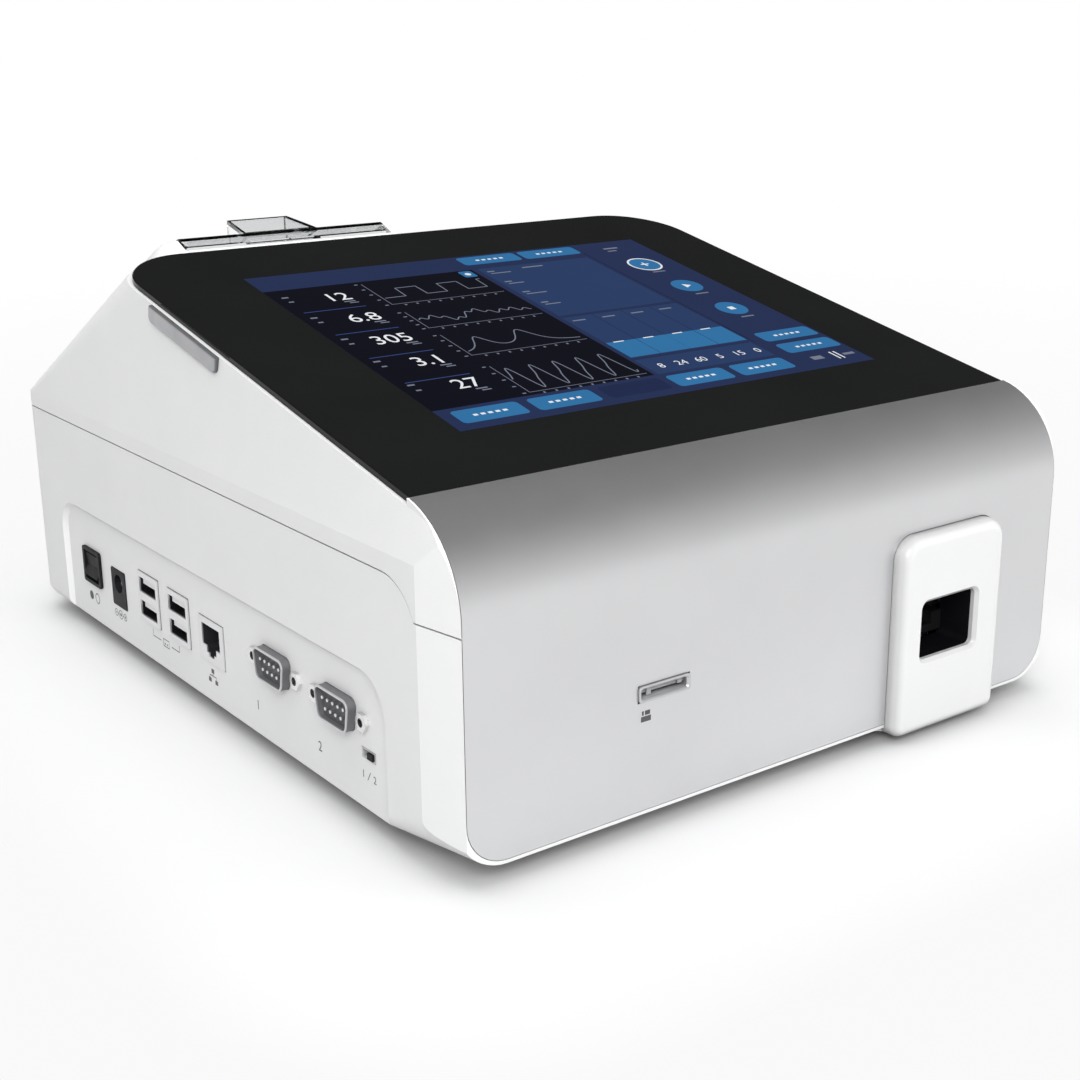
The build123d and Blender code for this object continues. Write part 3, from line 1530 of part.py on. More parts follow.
motor_seat = base + tray_bottom + motor_clearance
with BuildPart() as drive_pinion:
    with BuildSketch(Plane((pinion_x, pinion_y_place, rack_low - pinion_over))):
        Polygon(*gear_points(pinion_teeth, drive_module, 0), align=None)
        Circle(motor_shaft_radius, mode=Mode.SUBTRACT)
    extrude(amount=rack_height + 2 * pinion_over)
drive_pinion.part.label = "drive_pinion"
export_step(drive_pinion.part, "parts/drive_pinion.step")

with BuildPart() as drive_shaft:
    with BuildSketch(Plane((pinion_x, pinion_y_place, rack_low - shaft_under))):
        Circle(motor_shaft_radius)
    extrude(amount=motor_seat + motor_plate + shaft_grip - rack_low + shaft_under)
drive_shaft.part.label = "drive_shaft"
export_step(drive_shaft.part, "parts/drive_shaft.step")

post_x = pinion_x - motor_size / 2 - bracket_side
with BuildPart() as motor_bracket:
    with BuildSketch(Plane.XY.offset(motor_seat)):
        with Locations((pinion_x - bracket_side, pinion_y_place)):
            RectangleRounded(motor_size + 2 * bracket_side, motor_size, bracket_side)
        with Locations((pinion_x, pinion_y_place)):
            Circle(motor_shaft_radius + motor_clearance, mode=Mode.SUBTRACT)
    extrude(amount=motor_plate)
    with BuildSketch(Plane.XY.offset(deck_z)):
        with Locations((post_x + bracket_foot / 2, pinion_y_place)):
            Rectangle(bracket_foot + motor_plate, motor_size)
    extrude(amount=motor_plate)
    with BuildSketch(Plane.XY.offset(deck_z)):
        with Locations((post_x, pinion_y_place)):
            Rectangle(motor_plate, motor_size)
    extrude(amount=motor_seat + motor_plate / 2 - deck_z)
motor_bracket.part.label = "motor_bracket"
export_step(motor_bracket.part, "parts/motor_bracket.step")

motor_base = motor_seat + motor_plate
with BuildPart() as carrier_motor:
    with BuildSketch(Plane.XY.offset(motor_base)):
        with Locations((pinion_x, pinion_y_place)):
            RectangleRounded(motor_size, motor_size, motor_corner)
    extrude(amount=motor_length)
    with BuildSketch(Plane.XY.offset(motor_base)):
        with Locations((pinion_x, pinion_y_place)):
            Circle(motor_shaft_radius + running_gap)
    extrude(amount=motor_hole_depth, mode=Mode.SUBTRACT)
carrier_motor.part.label = "carrier_motor"
export_step(carrier_motor.part, "parts/carrier_motor.step")

# Optics over the tray: bridge, head, light tube and lens
optics_mid = front + optics_y
bridge_half = carriage_half + rack_width + bridge_clearance
bridge_z = tray_z + tray_height + optics_gap
with BuildPart() as optics_bridge:
    with BuildSketch(front_centre(window_mid, optics_mid - bridge_depth / 2)):
        with BuildLine():
            Polyline(
                (-bridge_half - bridge_sheet, deck_z),
                (-bridge_half - bridge_sheet, bridge_z + bridge_sheet),
                (bridge_half + bridge_sheet, bridge_z + bridge_sheet),
                (bridge_half + bridge_sheet, deck_z),
                (bridge_half, deck_z),
                (bridge_half, bridge_z),
                (-bridge_half, bridge_z),
                (-bridge_half, deck_z),
                close=True,
            )
        make_face()
    extrude(amount=-bridge_depth)
    with BuildSketch(Plane.XY.offset(bridge_z)):
        with Locations((window_mid, optics_mid)):
            Circle(lens_radius + lens_flange)
    extrude(amount=bridge_sheet, mode=Mode.SUBTRACT)
optics_bridge.part.label = "optics_bridge"
export_step(optics_bridge.part, "parts/optics_bridge.step")

with BuildPart() as optics_head:
    with BuildSketch(Plane.XY.offset(bridge_z + bridge_sheet)):
        with Locations((window_mid, optics_mid)):
            Rectangle(optics_width, bridge_depth - 2 * optics_inset)
    extrude(amount=optics_height)
    chamfer(optics_head.edges().filter_by(Axis.X).group_by(Axis.Z)[-1], optics_chamfer)
    with BuildSketch(Plane.XY.offset(bridge_z + bridge_sheet)):
        with Locations((window_mid, optics_mid)):
            Circle(lens_radius)
    extrude(amount=lens_bore, mode=Mode.SUBTRACT)
    with BuildSketch(Plane.XY.offset(bridge_z + bridge_sheet + optics_height)):
        with Locations((window_mid + detector_radius, optics_mid)):
            Circle(detector_radius)
    extrude(amount=detector_height)
optics_head.part.label = "optics_head"
export_step(optics_head.part, "parts/optics_head.step")

with BuildPart() as optics_lens:
    with BuildSketch(Plane.XY.offset(bridge_z + lens_recess)):
        with Locations((window_mid, optics_mid)):
            Circle(lens_radius)
    extrude(amount=lens_height)
    chamfer(optics_lens.faces().sort_by(Axis.Z)[0].edges(), lens_edge)
optics_lens.part.label = "optics_lens"
export_step(optics_lens.part, "parts/optics_lens.step")

# Printer trough with its flange under the hump and the shelf for the mechanism
roll_y, roll_z = hump_point(roll_back, cover_proud - cover_thickness - roll_gap - roll_radius)
bay_radius = roll_radius + roll_gap
bay_half = roll_width / 2 + 0.8
trough_top = crest_z + hump_depth
shelf_z = crest_z - platen_drop - shelf_drop
shelf_front = crest_y - shelf_reach
flange_half = cover_width / 2 + cover_gap + flange_rim
barrel_height = cover_proud - barrel_radius
rim_height = barrel_height - barrel_radius - barrel_room


def trough_view(radius):
    """Side view of the paper trough: a half-round floor between upright walls."""
    with BuildSketch() as view:
        with BuildLine():
            CenterArc((roll_y, roll_z), radius, 180, 180)
            Polyline(
                (roll_y + radius, roll_z),
                (roll_y + radius, trough_top),
                (roll_y - radius, trough_top),
                (roll_y - radius, roll_z),
            )
        make_face()
    return view.sketch


trough_outer = trough_view(bay_radius + tub_wall)
trough_inner = trough_view(bay_radius)
with BuildPart() as trough:
    with BuildSketch(Plane.YZ.offset(printer_mid)):
        add(trough_outer)
    extrude(amount=bay_half + tub_wall, both=True)
    with BuildSketch(hump_plane(-wall)):
        with Locations((0, hatch_end / 2)):
            Rectangle(4 * cover_width, 4 * hump_length)
    extrude(amount=2 * hump_depth, mode=Mode.SUBTRACT)
    with BuildSketch(Plane.XY.offset(roll_z + 5)):
        with Locations((printer_mid, roll_y - bay_radius - tub_wall - 1)):
            Rectangle(cover_width, 2 * tub_wall + 8, align=(Align.CENTER, Align.MIN))
    extrude(amount=2 * hump_depth, mode=Mode.SUBTRACT)
with BuildPart() as printer_tub:
    with BuildSketch(hump_plane(-wall)):
        with Locations((0, (flange_start + hatch_end + flange_rim) / 2)):
            Rectangle(2 * flange_half, hatch_end + flange_rim - flange_start)
    extrude(amount=rim_height - tub_wall + wall)
    add(trough.part)
    with BuildSketch(hump_plane(rim_height)):
        with Locations((0, 0)):
            Rectangle(cover_width + 2 * cover_gap, 2 * hatch_end)
    extrude(amount=wall - rim_height, mode=Mode.SUBTRACT)
    with BuildSketch(Plane.XY.offset(shelf_z - tub_wall)):
        with Locations((printer_mid, shelf_front)):
            Rectangle(
                2 * (frame_half + frame_sheet + 5),
                roll_y - bay_radius - tub_wall / 2 - shelf_front,
                align=(Align.CENTER, Align.MIN),
            )
    extrude(amount=tub_wall)
    with BuildSketch(Plane.YZ.offset(printer_mid)):
        add(trough_inner)
    extrude(amount=bay_half, both=True, mode=Mode.SUBTRACT)
printer_tub.part.label = "printer_tub"
export_step(printer_tub.part, "parts/printer_tub.step")

# Paper roll on its core
roll_plane = Plane.YZ.offset(printer_mid)
with BuildPart() as paper_roll:
    with BuildSketch(roll_plane):
        with Locations((roll_y, roll_z)):
            Circle(roll_radius)
            Circle(core_radius, mode=Mode.SUBTRACT)
    extrude(amount=roll_width / 2, both=True)
paper_roll.part.label = "paper_roll"
export_step(paper_roll.part, "parts/paper_roll.step")

with BuildPart() as paper_core:
    with BuildSketch(roll_plane):
        with Locations((roll_y, roll_z)):
            Circle(core_radius)
            Circle(core_bore, mode=Mode.SUBTRACT)
    extrude(amount=roll_width / 2, both=True)
paper_core.part.label = "paper_core"
export_step(paper_core.part, "parts/paper_core.step")

# Printer mechanism: platen in a sheet frame, thermal head, gears and motor
platen_y = crest_y + platen_behind
platen_z = crest_z - platen_drop
platen_pitch = platen_teeth * gear_module / 2
idler_pitch = idler_teeth * gear_module / 2
motor_pitch = motor_teeth * gear_module / 2
idler_y = platen_y + (platen_pitch + idler_pitch) * cos(radians(idler_angle))
idler_z = platen_z + (platen_pitch + idler_pitch) * sin(radians(idler_angle))
spindle_y = idler_y + (idler_pitch + motor_pitch) * cos(radians(motor_angle))
spindle_z = idler_z + (idler_pitch + motor_pitch) * sin(radians(motor_angle))
idler_phase = mate_phase(idler_angle, idler_angle, platen_teeth, idler_teeth)
motor_phase = mate_phase(motor_angle, idler_phase, idler_teeth, motor_teeth)
gear_x = printer_mid - frame_half - frame_sheet - 0.4
idler_shaft_radius = 1.2
spindle_radius = 0.8
frame_front = shelf_front + 1.0
frame_top = platen_z + 4.0
with BuildPart() as printer_frame:
    with BuildSketch(Plane.YZ.offset(printer_mid)):
        with BuildLine():
            Polyline(
                (frame_front, shelf_z),
                (frame_front, frame_top - 6),
                (frame_front + 5, frame_top),
                (platen_y + 3.5, frame_top),
                (platen_y + 3.5, platen_z - 6),
                (roll_y - bay_radius - tub_wall - 0.3, shelf_z + 10),
                (roll_y - bay_radius - tub_wall - 0.3, shelf_z),
                close=True,
            )
        make_face()
        with Locations((platen_y, platen_z)):
            Circle(platen_shaft_radius + running_gap, mode=Mode.SUBTRACT)
        with Locations((idler_y, idler_z)):
            Circle(idler_shaft_radius + running_gap, mode=Mode.SUBTRACT)
        with Locations((spindle_y, spindle_z)):
            Circle(spindle_radius + 0.8, mode=Mode.SUBTRACT)
    extrude(amount=frame_half + frame_sheet, both=True)
    with BuildSketch(Plane.XY.offset(shelf_z)):
        with Locations((printer_mid, platen_y)):
            Rectangle(2 * frame_half, hump_length)
    extrude(amount=hump_length, mode=Mode.SUBTRACT)
    cross_y = platen_y - platen_radius - head_gap - head_thickness - frame_sheet
    with BuildSketch(Plane.XY.offset(spindle_z + printer_motor_radius + 0.8)):
        with Locations((printer_mid, cross_y)):
            Rectangle(2 * frame_half, frame_sheet, align=(Align.CENTER, Align.MIN))
    extrude(amount=frame_top - spindle_z - printer_motor_radius - 0.8)
printer_frame.part.label = "printer_frame"
export_step(printer_frame.part, "parts/printer_frame.step")

with BuildPart() as thermal_head:
    with BuildSketch(Plane.XY.offset(spindle_z + printer_motor_radius + 1.5)):
        with Locations((printer_mid, cross_y + frame_sheet)):
            Rectangle(platen_length, head_thickness, align=(Align.CENTER, Align.MIN))
    extrude(amount=frame_top - 1 - spindle_z - printer_motor_radius - 1.5)
    chamfer(thermal_head.edges().filter_by(Axis.X).group_by(Axis.Z)[-1].sort_by(Axis.Y)[-1], 1.2)
thermal_head.part.label = "thermal_head"
export_step(thermal_head.part, "parts/thermal_head.step")

with BuildPart() as tear_bar:
    with BuildSketch(front_centre(printer_mid, cross_y)):
        with BuildLine():
            teeth = int(platen_length / tear_pitch)
            half = teeth * tear_pitch / 2
            start = Polyline((-half, frame_top), (half, frame_top), (half, frame_top + 1.2))
            last = start @ 1
            for tooth in range(teeth):
                peak = Polyline(
                    last,
                    (half - (tooth + 0.5) * tear_pitch, frame_top + 1.2 + tear_height),
                    (half - (tooth + 1) * tear_pitch, frame_top + 1.2),
                )
                last = peak @ 1
            Line(last, start @ 0)
        make_face()
    extrude(amount=-0.6)
tear_bar.part.label = "tear_bar"
export_step(tear_bar.part, "parts/tear_bar.step")

with BuildPart() as platen_roller:
    with BuildSketch(Plane.YZ.offset(printer_mid)):
        with Locations((platen_y, platen_z)):
            Circle(platen_radius)
            Circle(platen_shaft_radius, mode=Mode.SUBTRACT)
    extrude(amount=platen_length / 2, both=True)
platen_roller.part.label = "platen_roller"
export_step(platen_roller.part, "parts/platen_roller.step")

shaft_end = printer_mid + frame_half + frame_sheet + 1.0
with BuildPart() as platen_shaft:
    with BuildSketch(Plane.YZ.offset(gear_x - gear_width - 0.3)):
        with Locations((platen_y, platen_z)):
            Circle(platen_shaft_radius)
    extrude(amount=shaft_end - gear_x + gear_width + 0.3)
platen_shaft.part.label = "platen_shaft"
export_step(platen_shaft.part, "parts/platen_shaft.step")


def gear(y, z, teeth, phase, bore):
    """Spur gear on the frame's left side, on an axis along X."""
    with BuildPart() as wheel:
        with BuildSketch(Plane((gear_x - gear_width, y, z), x_dir=(0, 1, 0), z_dir=(1, 0, 0))):
            Polygon(*gear_points(teeth, gear_module, phase), align=None)
            Circle(bore, mode=Mode.SUBTRACT)
        extrude(amount=gear_width)
    return wheel


platen_gear = gear(platen_y, platen_z, platen_teeth, idler_angle, platen_shaft_radius)
platen_gear.part.label = "platen_gear"
export_step(platen_gear.part, "parts/platen_gear.step")

idler_gear = gear(idler_y, idler_z, idler_teeth, idler_phase, idler_shaft_radius + running_gap)
idler_gear.part.label = "idler_gear"
export_step(idler_gear.part, "parts/idler_gear.step")

motor_gear = gear(spindle_y, spindle_z, motor_teeth, motor_phase, spindle_radius)
motor_gear.part.label = "motor_gear"
export_step(motor_gear.part, "parts/motor_gear.step")

with BuildPart() as idler_pin:
    with BuildSketch(Plane.YZ.offset(gear_x - gear_width - 0.8)):
        with Locations((idler_y, idler_z)):
            Circle(idler_shaft_radius + 0.8)
    extrude(amount=0.6)
    with BuildSketch(Plane.YZ.offset(gear_x - gear_width - 0.2)):
        with Locations((idler_y, idler_z)):
            Circle(idler_shaft_radius)
    extrude(amount=gear_width + 0.6 + frame_sheet)
idler_pin.part.label = "idler_pin"
export_step(idler_pin.part, "parts/idler_pin.step")

motor_face = printer_mid - frame_half
with BuildPart() as motor_spindle:
    with BuildSketch(Plane.YZ.offset(gear_x - gear_width)):
        with Locations((spindle_y, spindle_z)):
            Circle(spindle_radius)
    extrude(amount=motor_face + 6 - gear_x + gear_width)
motor_spindle.part.label = "motor_spindle"
export_step(motor_spindle.part, "parts/motor_spindle.step")

with BuildPart() as printer_motor:
    with BuildSketch(Plane.YZ.offset(motor_face)):
        with Locations((spindle_y, spindle_z)):
            Circle(printer_motor_radius)
    extrude(amount=printer_motor_length)
    with BuildSketch(Plane.YZ.offset(motor_face)):
        with Locations((spindle_y, spindle_z)):
            Circle(spindle_radius + running_gap)
    extrude(amount=7, mode=Mode.SUBTRACT)
printer_motor.part.label = "printer_motor"
export_step(printer_motor.part, "parts/printer_motor.step")

# Clear printer cover with its front lip, hinge barrel and hooded grip
plate_top = cover_proud
plate_low = cover_proud - cover_thickness
lip_lean = radians(hump_draft)
lip_step = (-sin(lip_lean), -cos(lip_lean))
lip_in = cover_thickness * tan((pi / 2 - lip_lean) / 2)
lip_end = (lip_step[0] * cover_lip, plate_top + lip_step[1] * cover_lip)
lip_back = (lip_end[0] + cover_thickness * cos(lip_lean), lip_end[1] - cover_thickness * sin(lip_lean))
inner_bend = (lip_in, plate_low)
grip_lean = radians(grip_rise)
grip_start_y, grip_start_z = hump_point(1.0, plate_top)
grip_end_y = grip_start_y + grip_length * cos(grip_lean)
grip_end_z = grip_start_z + grip_length * sin(grip_lean)
plate_at_grip = grip_start_z - (grip_end_y - grip_start_y) * tan(radians(hump_slope))
bury = cover_thickness / 2
with BuildPart() as cover_plan:
    with BuildSketch(hump_plane(0)):
        with Locations((0, (barrel_down + lip_end[0]) / 2)):
            RectangleRounded(cover_width, barrel_down - lip_end[0] + 2 * barrel_radius, cover_corner)
        with Locations((0, barrel_down)):
            Rectangle(cover_width, 4 * cover_corner)
    extrude(amount=2 * cover_lip + barrel_radius, both=True)
with BuildPart() as grip:
    with BuildSketch(Plane.YZ.offset(printer_mid)):
        with BuildLine():
            Polyline(
                (grip_start_y, grip_start_z - bury),
                (grip_start_y, grip_start_z),
                (grip_end_y, grip_end_z),
                (grip_end_y, plate_at_grip - bury),
                close=True,
            )
        make_face()
    extrude(amount=grip_front_width / 2, both=True)
    with BuildSketch(Plane.XY.offset(crest_z - hump_depth)):
        with BuildLine():
            Polyline(
                (printer_mid - grip_front_width / 2, grip_start_y - 1),
                (printer_mid + grip_front_width / 2, grip_start_y - 1),
                (printer_mid + grip_rear_width / 2, grip_end_y + 1),
                (printer_mid - grip_rear_width / 2, grip_end_y + 1),
                close=True,
            )
        make_face()
    extrude(amount=2 * hump_depth, mode=Mode.INTERSECT)
with BuildPart() as grip_hollow:
    with BuildSketch(Plane.YZ.offset(printer_mid)):
        with BuildLine():
            drop = grip_wall / cos(grip_lean)
            open_y = grip_end_y + 2
            Polyline(
                (grip_start_y + grip_inner, grip_start_z + grip_inner * tan(grip_lean) - drop),
                (open_y, grip_start_z + (open_y - grip_start_y) * tan(grip_lean) - drop),
                (open_y, grip_start_z - (open_y - grip_start_y) * tan(radians(hump_slope))),
                (grip_start_y + grip_inner, grip_start_z - grip_inner * tan(radians(hump_slope))),
                close=True,
            )
        make_face()
    extrude(amount=grip_front_width / 2, both=True)
    with BuildSketch(Plane.XY.offset(crest_z - hump_depth)):
        with BuildLine():
            Polyline(
                (printer_mid - grip_front_width / 2 + grip_wall, grip_start_y - 1),
                (printer_mid + grip_front_width / 2 - grip_wall, grip_start_y - 1),
                (printer_mid + grip_rear_width / 2 - grip_wall, grip_end_y + 3),
                (printer_mid - grip_rear_width / 2 + grip_wall, grip_end_y + 3),
                close=True,
            )
        make_face()
    extrude(amount=2 * hump_depth, mode=Mode.INTERSECT)
with BuildPart() as printer_cover:
    with BuildSketch(Plane.YZ.offset(printer_mid)):
        with BuildLine():
            Polyline(
                hump_point(barrel_down, plate_top),
                hump_point(0, plate_top),
                hump_point(*lip_end),
                hump_point(*lip_back),
                hump_point(*inner_bend),
                hump_point(barrel_down, plate_low),
                close=True,
            )
        make_face()
        with Locations(hump_point(barrel_down, barrel_height)):
            Circle(barrel_radius)
    extrude(amount=cover_width / 2, both=True)
    crest_line = printer_cover.edges().filter_by(Axis.X).sort_by(Axis.Z)[-1]
    fillet(crest_line, 1.2)
    add(cover_plan.part, mode=Mode.INTERSECT)
    add(grip.part)
    add(grip_hollow.part, mode=Mode.SUBTRACT)
    with BuildSketch(Plane.YZ.offset(printer_mid)):
        with Locations((pin_y, pin_z)):
            Circle(hinge_pin_radius + running_gap)
    extrude(amount=cover_width, both=True, mode=Mode.SUBTRACT)
printer_cover.part.label = "printer_cover"
export_step(printer_cover.part, "parts/printer_cover.step")

with BuildPart() as cover_pin:
    with BuildSketch(Plane.YZ.offset(printer_mid)):
        with Locations((pin_y, pin_z)):
            Circle(hinge_pin_radius)
    extrude(amount=cover_width / 2 + hinge_pin_seat - 0.3, both=True)
cover_pin.part.label = "cover_pin"
export_step(cover_pin.part, "parts/cover_pin.step")
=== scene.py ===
"""Looks, studio and camera for the benchtop immunofluorescence analyzer, built round its CAD frame.

Units are metres in the row frame: +X right, +Y to the rear, +Z up, origin under the machine.
Flat pictures and marks are laid out in millimetres on their faces.
"""

import json
from math import atan, cos, pi, radians, sin

import bmesh
import bpy
from mathutils import Matrix, Vector

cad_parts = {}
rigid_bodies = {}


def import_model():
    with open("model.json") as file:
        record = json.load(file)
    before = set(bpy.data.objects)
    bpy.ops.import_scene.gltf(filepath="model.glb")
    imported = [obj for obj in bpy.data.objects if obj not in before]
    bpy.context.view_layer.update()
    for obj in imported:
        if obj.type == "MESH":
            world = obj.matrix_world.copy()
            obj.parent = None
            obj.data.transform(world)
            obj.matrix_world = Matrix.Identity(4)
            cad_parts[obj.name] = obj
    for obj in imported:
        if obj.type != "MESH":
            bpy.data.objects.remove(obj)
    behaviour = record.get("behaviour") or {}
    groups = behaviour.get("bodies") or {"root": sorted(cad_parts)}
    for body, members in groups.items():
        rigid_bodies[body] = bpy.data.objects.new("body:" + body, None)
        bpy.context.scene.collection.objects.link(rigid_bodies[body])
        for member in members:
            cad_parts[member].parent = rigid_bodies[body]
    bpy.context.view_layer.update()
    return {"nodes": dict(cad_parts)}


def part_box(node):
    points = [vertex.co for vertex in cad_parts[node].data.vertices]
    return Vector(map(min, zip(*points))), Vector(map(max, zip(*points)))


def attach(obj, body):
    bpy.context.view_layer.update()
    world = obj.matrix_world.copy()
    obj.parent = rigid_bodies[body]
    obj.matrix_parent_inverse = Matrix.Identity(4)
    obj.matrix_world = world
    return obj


MM = 0.001

for item in list(bpy.data.objects):
    bpy.data.objects.remove(item)

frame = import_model()
nodes = frame["nodes"]


# Directions and places on the machine

LEFT = Vector((-1, 0, 0))
RIGHT = Vector((1, 0, 0))
FRONT = Vector((0, -1, 0))
UP = Vector((0, 0, 1))

DISPLAY_TILT = radians(12.3)
DISPLAY_UP = Vector((0, cos(DISPLAY_TILT), sin(DISPLAY_TILT)))
DISPLAY_OUT = Vector((0, -sin(DISPLAY_TILT), cos(DISPLAY_TILT)))
glass_low, glass_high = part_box("touch_glass")
GLASS_START = Vector(((glass_low.x + glass_high.x) / 2, -0.11445, 0.09538))

# Lit screen on the glass, in mm from its start
SCREEN_LEFT = -75.2
SCREEN_RIGHT = 79.6
SCREEN_LOW = 27.9
SCREEN_HIGH = 150.4

PORT_PANEL_RECESS = 1.6 * MM
SLOT_RIM = 1.0 * MM


# Materials

AO_SAMPLES = 6
SCUFF_STRETCH = (140, 900, 420)
GLASS_IOR = 1.52
RIM_FADE = 0.2 * MM


def new_tree(owner, output):
    """Cleared node tree of a material or world, with its output node."""
    owner.use_nodes = True
    tree = owner.node_tree
    tree.nodes.clear()
    return tree, tree.nodes.new(output)


def new_material(name):
    """Empty node material and its tree, with the Principled shader joined to the output."""
    mat = bpy.data.materials.new(name)
    tree, out = new_tree(mat, "ShaderNodeOutputMaterial")
    shader = tree.nodes.new("ShaderNodeBsdfPrincipled")
    tree.links.new(shader.outputs["BSDF"], out.inputs["Surface"])
    return mat, tree, shader


def place(tree, stretch=(1, 1, 1)):
    """The piece's own coordinates in metres, scaled per axis."""
    where = tree.nodes.new("ShaderNodeTexCoord")
    mapping = tree.nodes.new("ShaderNodeMapping")
    mapping.inputs["Scale"].default_value = stretch
    tree.links.new(where.outputs["Object"], mapping.inputs["Vector"])
    return mapping.outputs["Vector"]


def noise(tree, vector, scale, detail=3.0, rough=0.55):
    """Noise texture of the given scale, per metre; its value output."""
    node = tree.nodes.new("ShaderNodeTexNoise")
    node.inputs["Scale"].default_value = scale
    node.inputs["Detail"].default_value = detail
    node.inputs["Roughness"].default_value = rough
    tree.links.new(vector, node.inputs["Vector"])
    return node.outputs["Fac"]


def spread(tree, value, low, high, start=0.3, end=0.7):
    """Maps `value` from start..end to low..high."""
    node = tree.nodes.new("ShaderNodeMapRange")
    node.inputs["From Min"].default_value = start
    node.inputs["From Max"].default_value = end
    node.inputs["To Min"].default_value = low
    node.inputs["To Max"].default_value = high
    tree.links.new(value, node.inputs["Value"])
    return node.outputs["Result"]


def calculate(tree, operation, first, second):
    """Math node on two outputs."""
    node = tree.nodes.new("ShaderNodeMath")
    node.operation = operation
    tree.links.new(first, node.inputs[0])
    tree.links.new(second, node.inputs[1])
    return node.outputs["Value"]


def blend_colours(tree, factor, low, high):
    """Colour between low and high by the factor."""
    node = tree.nodes.new("ShaderNodeMix")
    node.data_type = "RGBA"
    node.inputs["A"].default_value = (*low, 1)
    node.inputs["B"].default_value = (*high, 1)
    tree.links.new(factor, node.inputs["Factor"])
    return node.outputs["Result"]


def multiply_colour(tree, colour, level):
    """Colour times a level."""
    node = tree.nodes.new("ShaderNodeMix")
    node.data_type = "RGBA"
    node.blend_type = "MULTIPLY"
    node.inputs["Factor"].default_value = 1.0
    tree.links.new(colour, node.inputs["A"])
    tree.links.new(level, node.inputs["B"])
    return node.outputs["Result"]


def bump(tree, shader, height, depth, strength=1.0, below=None):
    """Bump of the given depth in metres, laid over an earlier bump."""
    node = tree.nodes.new("ShaderNodeBump")
    node.inputs["Strength"].default_value = strength
    node.inputs["Distance"].default_value = depth
    tree.links.new(height, node.inputs["Height"])
    if below:
        tree.links.new(below, node.inputs["Normal"])
    tree.links.new(node.outputs["Normal"], shader.inputs["Normal"])
    return node.outputs["Normal"]


def shade_gaps(tree, colour, reach, darkest):
    """Colour with the soft shade that seams, rims and recesses gather."""
    near = tree.nodes.new("ShaderNodeAmbientOcclusion")
    near.samples = AO_SAMPLES
    near.inputs["Distance"].default_value = reach
    level = spread(tree, near.outputs["AO"], darkest, 1, start=0.0, end=0.9)
    return multiply_colour(tree, colour, level)


def shade_flanks(tree, colour, facing, darkest, start=0.55, end=0.97):
    """Colour with painted shade on the edges and flanks turned away from the direction `facing`."""
    where = tree.nodes.new("ShaderNodeNewGeometry")
    turned = tree.nodes.new("ShaderNodeVectorMath")
    turned.operation = "DOT_PRODUCT"
    turned.inputs[1].default_value = facing
    tree.links.new(where.outputs["Normal"], turned.inputs[0])
    level = spread(tree, turned.outputs["Value"], darkest, 1, start, end)
    return multiply_colour(tree, colour, level)


def surface(
    name, low, high, rough, grain, depth, patch=25.0, stretch=(1, 1, 1), strength=1.0,
    scuff=0.0, shade=None, flanks=None, **sockets
):
    """Material with patchy colour and roughness, fine grain and, where asked, scuffs and painted
    shade in gaps and on flanks.
    """
    mat, tree, shader = new_material(name)
    vector = place(tree, stretch)
    broad = noise(tree, vector, patch, 4.0)
    fine = noise(tree, vector, grain, 2.0)
    colour = blend_colours(tree, spread(tree, broad, 0, 1), low, high)
    if shade:
        colour = shade_gaps(tree, colour, *shade)
    if flanks:
        colour = shade_flanks(tree, colour, *flanks)
    tree.links.new(colour, shader.inputs["Base Color"])
    roughness = spread(tree, noise(tree, vector, patch * 3.1, 5.0, 0.65), *rough)
    if scuff:
        streak = noise(tree, place(tree, SCUFF_STRETCH), 1.0, 6.0, 0.7)
        roughness = calculate(
            tree, "ADD", roughness, spread(tree, streak, 0, scuff, start=0.62, end=0.74)
        )
    tree.links.new(roughness, shader.inputs["Roughness"])
    bump(tree, shader, fine, depth, strength)
    for socket, value in sockets.items():
        shader.inputs[socket.replace("_", " ")].default_value = value
    return mat


def brushed_surface(name, low, high, rough, stretch):
    """Metal with fine drawn lines along the axis whose stretch is small."""
    return surface(
        name, low, high, rough, grain=60.0, depth=0.01 * MM, patch=9.0, stretch=stretch,
        strength=0.5, Metallic=1.0,
    )


def board_surface(name):
    """Green solder mask over copper tracks."""
    mat, tree, shader = new_material(name)
    vector = place(tree)
    tracks = tree.nodes.new("ShaderNodeTexBrick")
    tracks.inputs["Scale"].default_value = 90
    tracks.inputs["Mortar Size"].default_value = 0.02
    tracks.inputs["Color1"].default_value = (0.004, 0.075, 0.03, 1)
    tracks.inputs["Color2"].default_value = (0.005, 0.09, 0.036, 1)
    tracks.inputs["Mortar"].default_value = (0.02, 0.17, 0.07, 1)
    tree.links.new(vector, tracks.inputs["Vector"])
    tree.links.new(tracks.outputs["Color"], shader.inputs["Base Color"])
    fine = noise(tree, vector, 900, 3.0)
    tree.links.new(spread(tree, fine, 0.28, 0.42), shader.inputs["Roughness"])
    first = bump(tree, shader, tracks.outputs["Fac"], 0.04 * MM)
    bump(tree, shader, fine, 0.01 * MM, 0.6, first)
    return mat


def parts_surface(name):
    """Moulded black packages, a little uneven in tone."""
    mat, tree, shader = new_material(name)
    vector = place(tree)
    factor = spread(tree, noise(tree, vector, 160, 3.0), 0, 1, start=0.35, end=0.65)
    colour = blend_colours(tree, factor, (0.012, 0.012, 0.013), (0.03, 0.03, 0.032))
    tree.links.new(colour, shader.inputs["Base Color"])
    fine = noise(tree, vector, 2600, 2.0)
    tree.links.new(spread(tree, fine, 0.45, 0.62), shader.inputs["Roughness"])
    bump(tree, shader, fine, 0.02 * MM)
    return mat


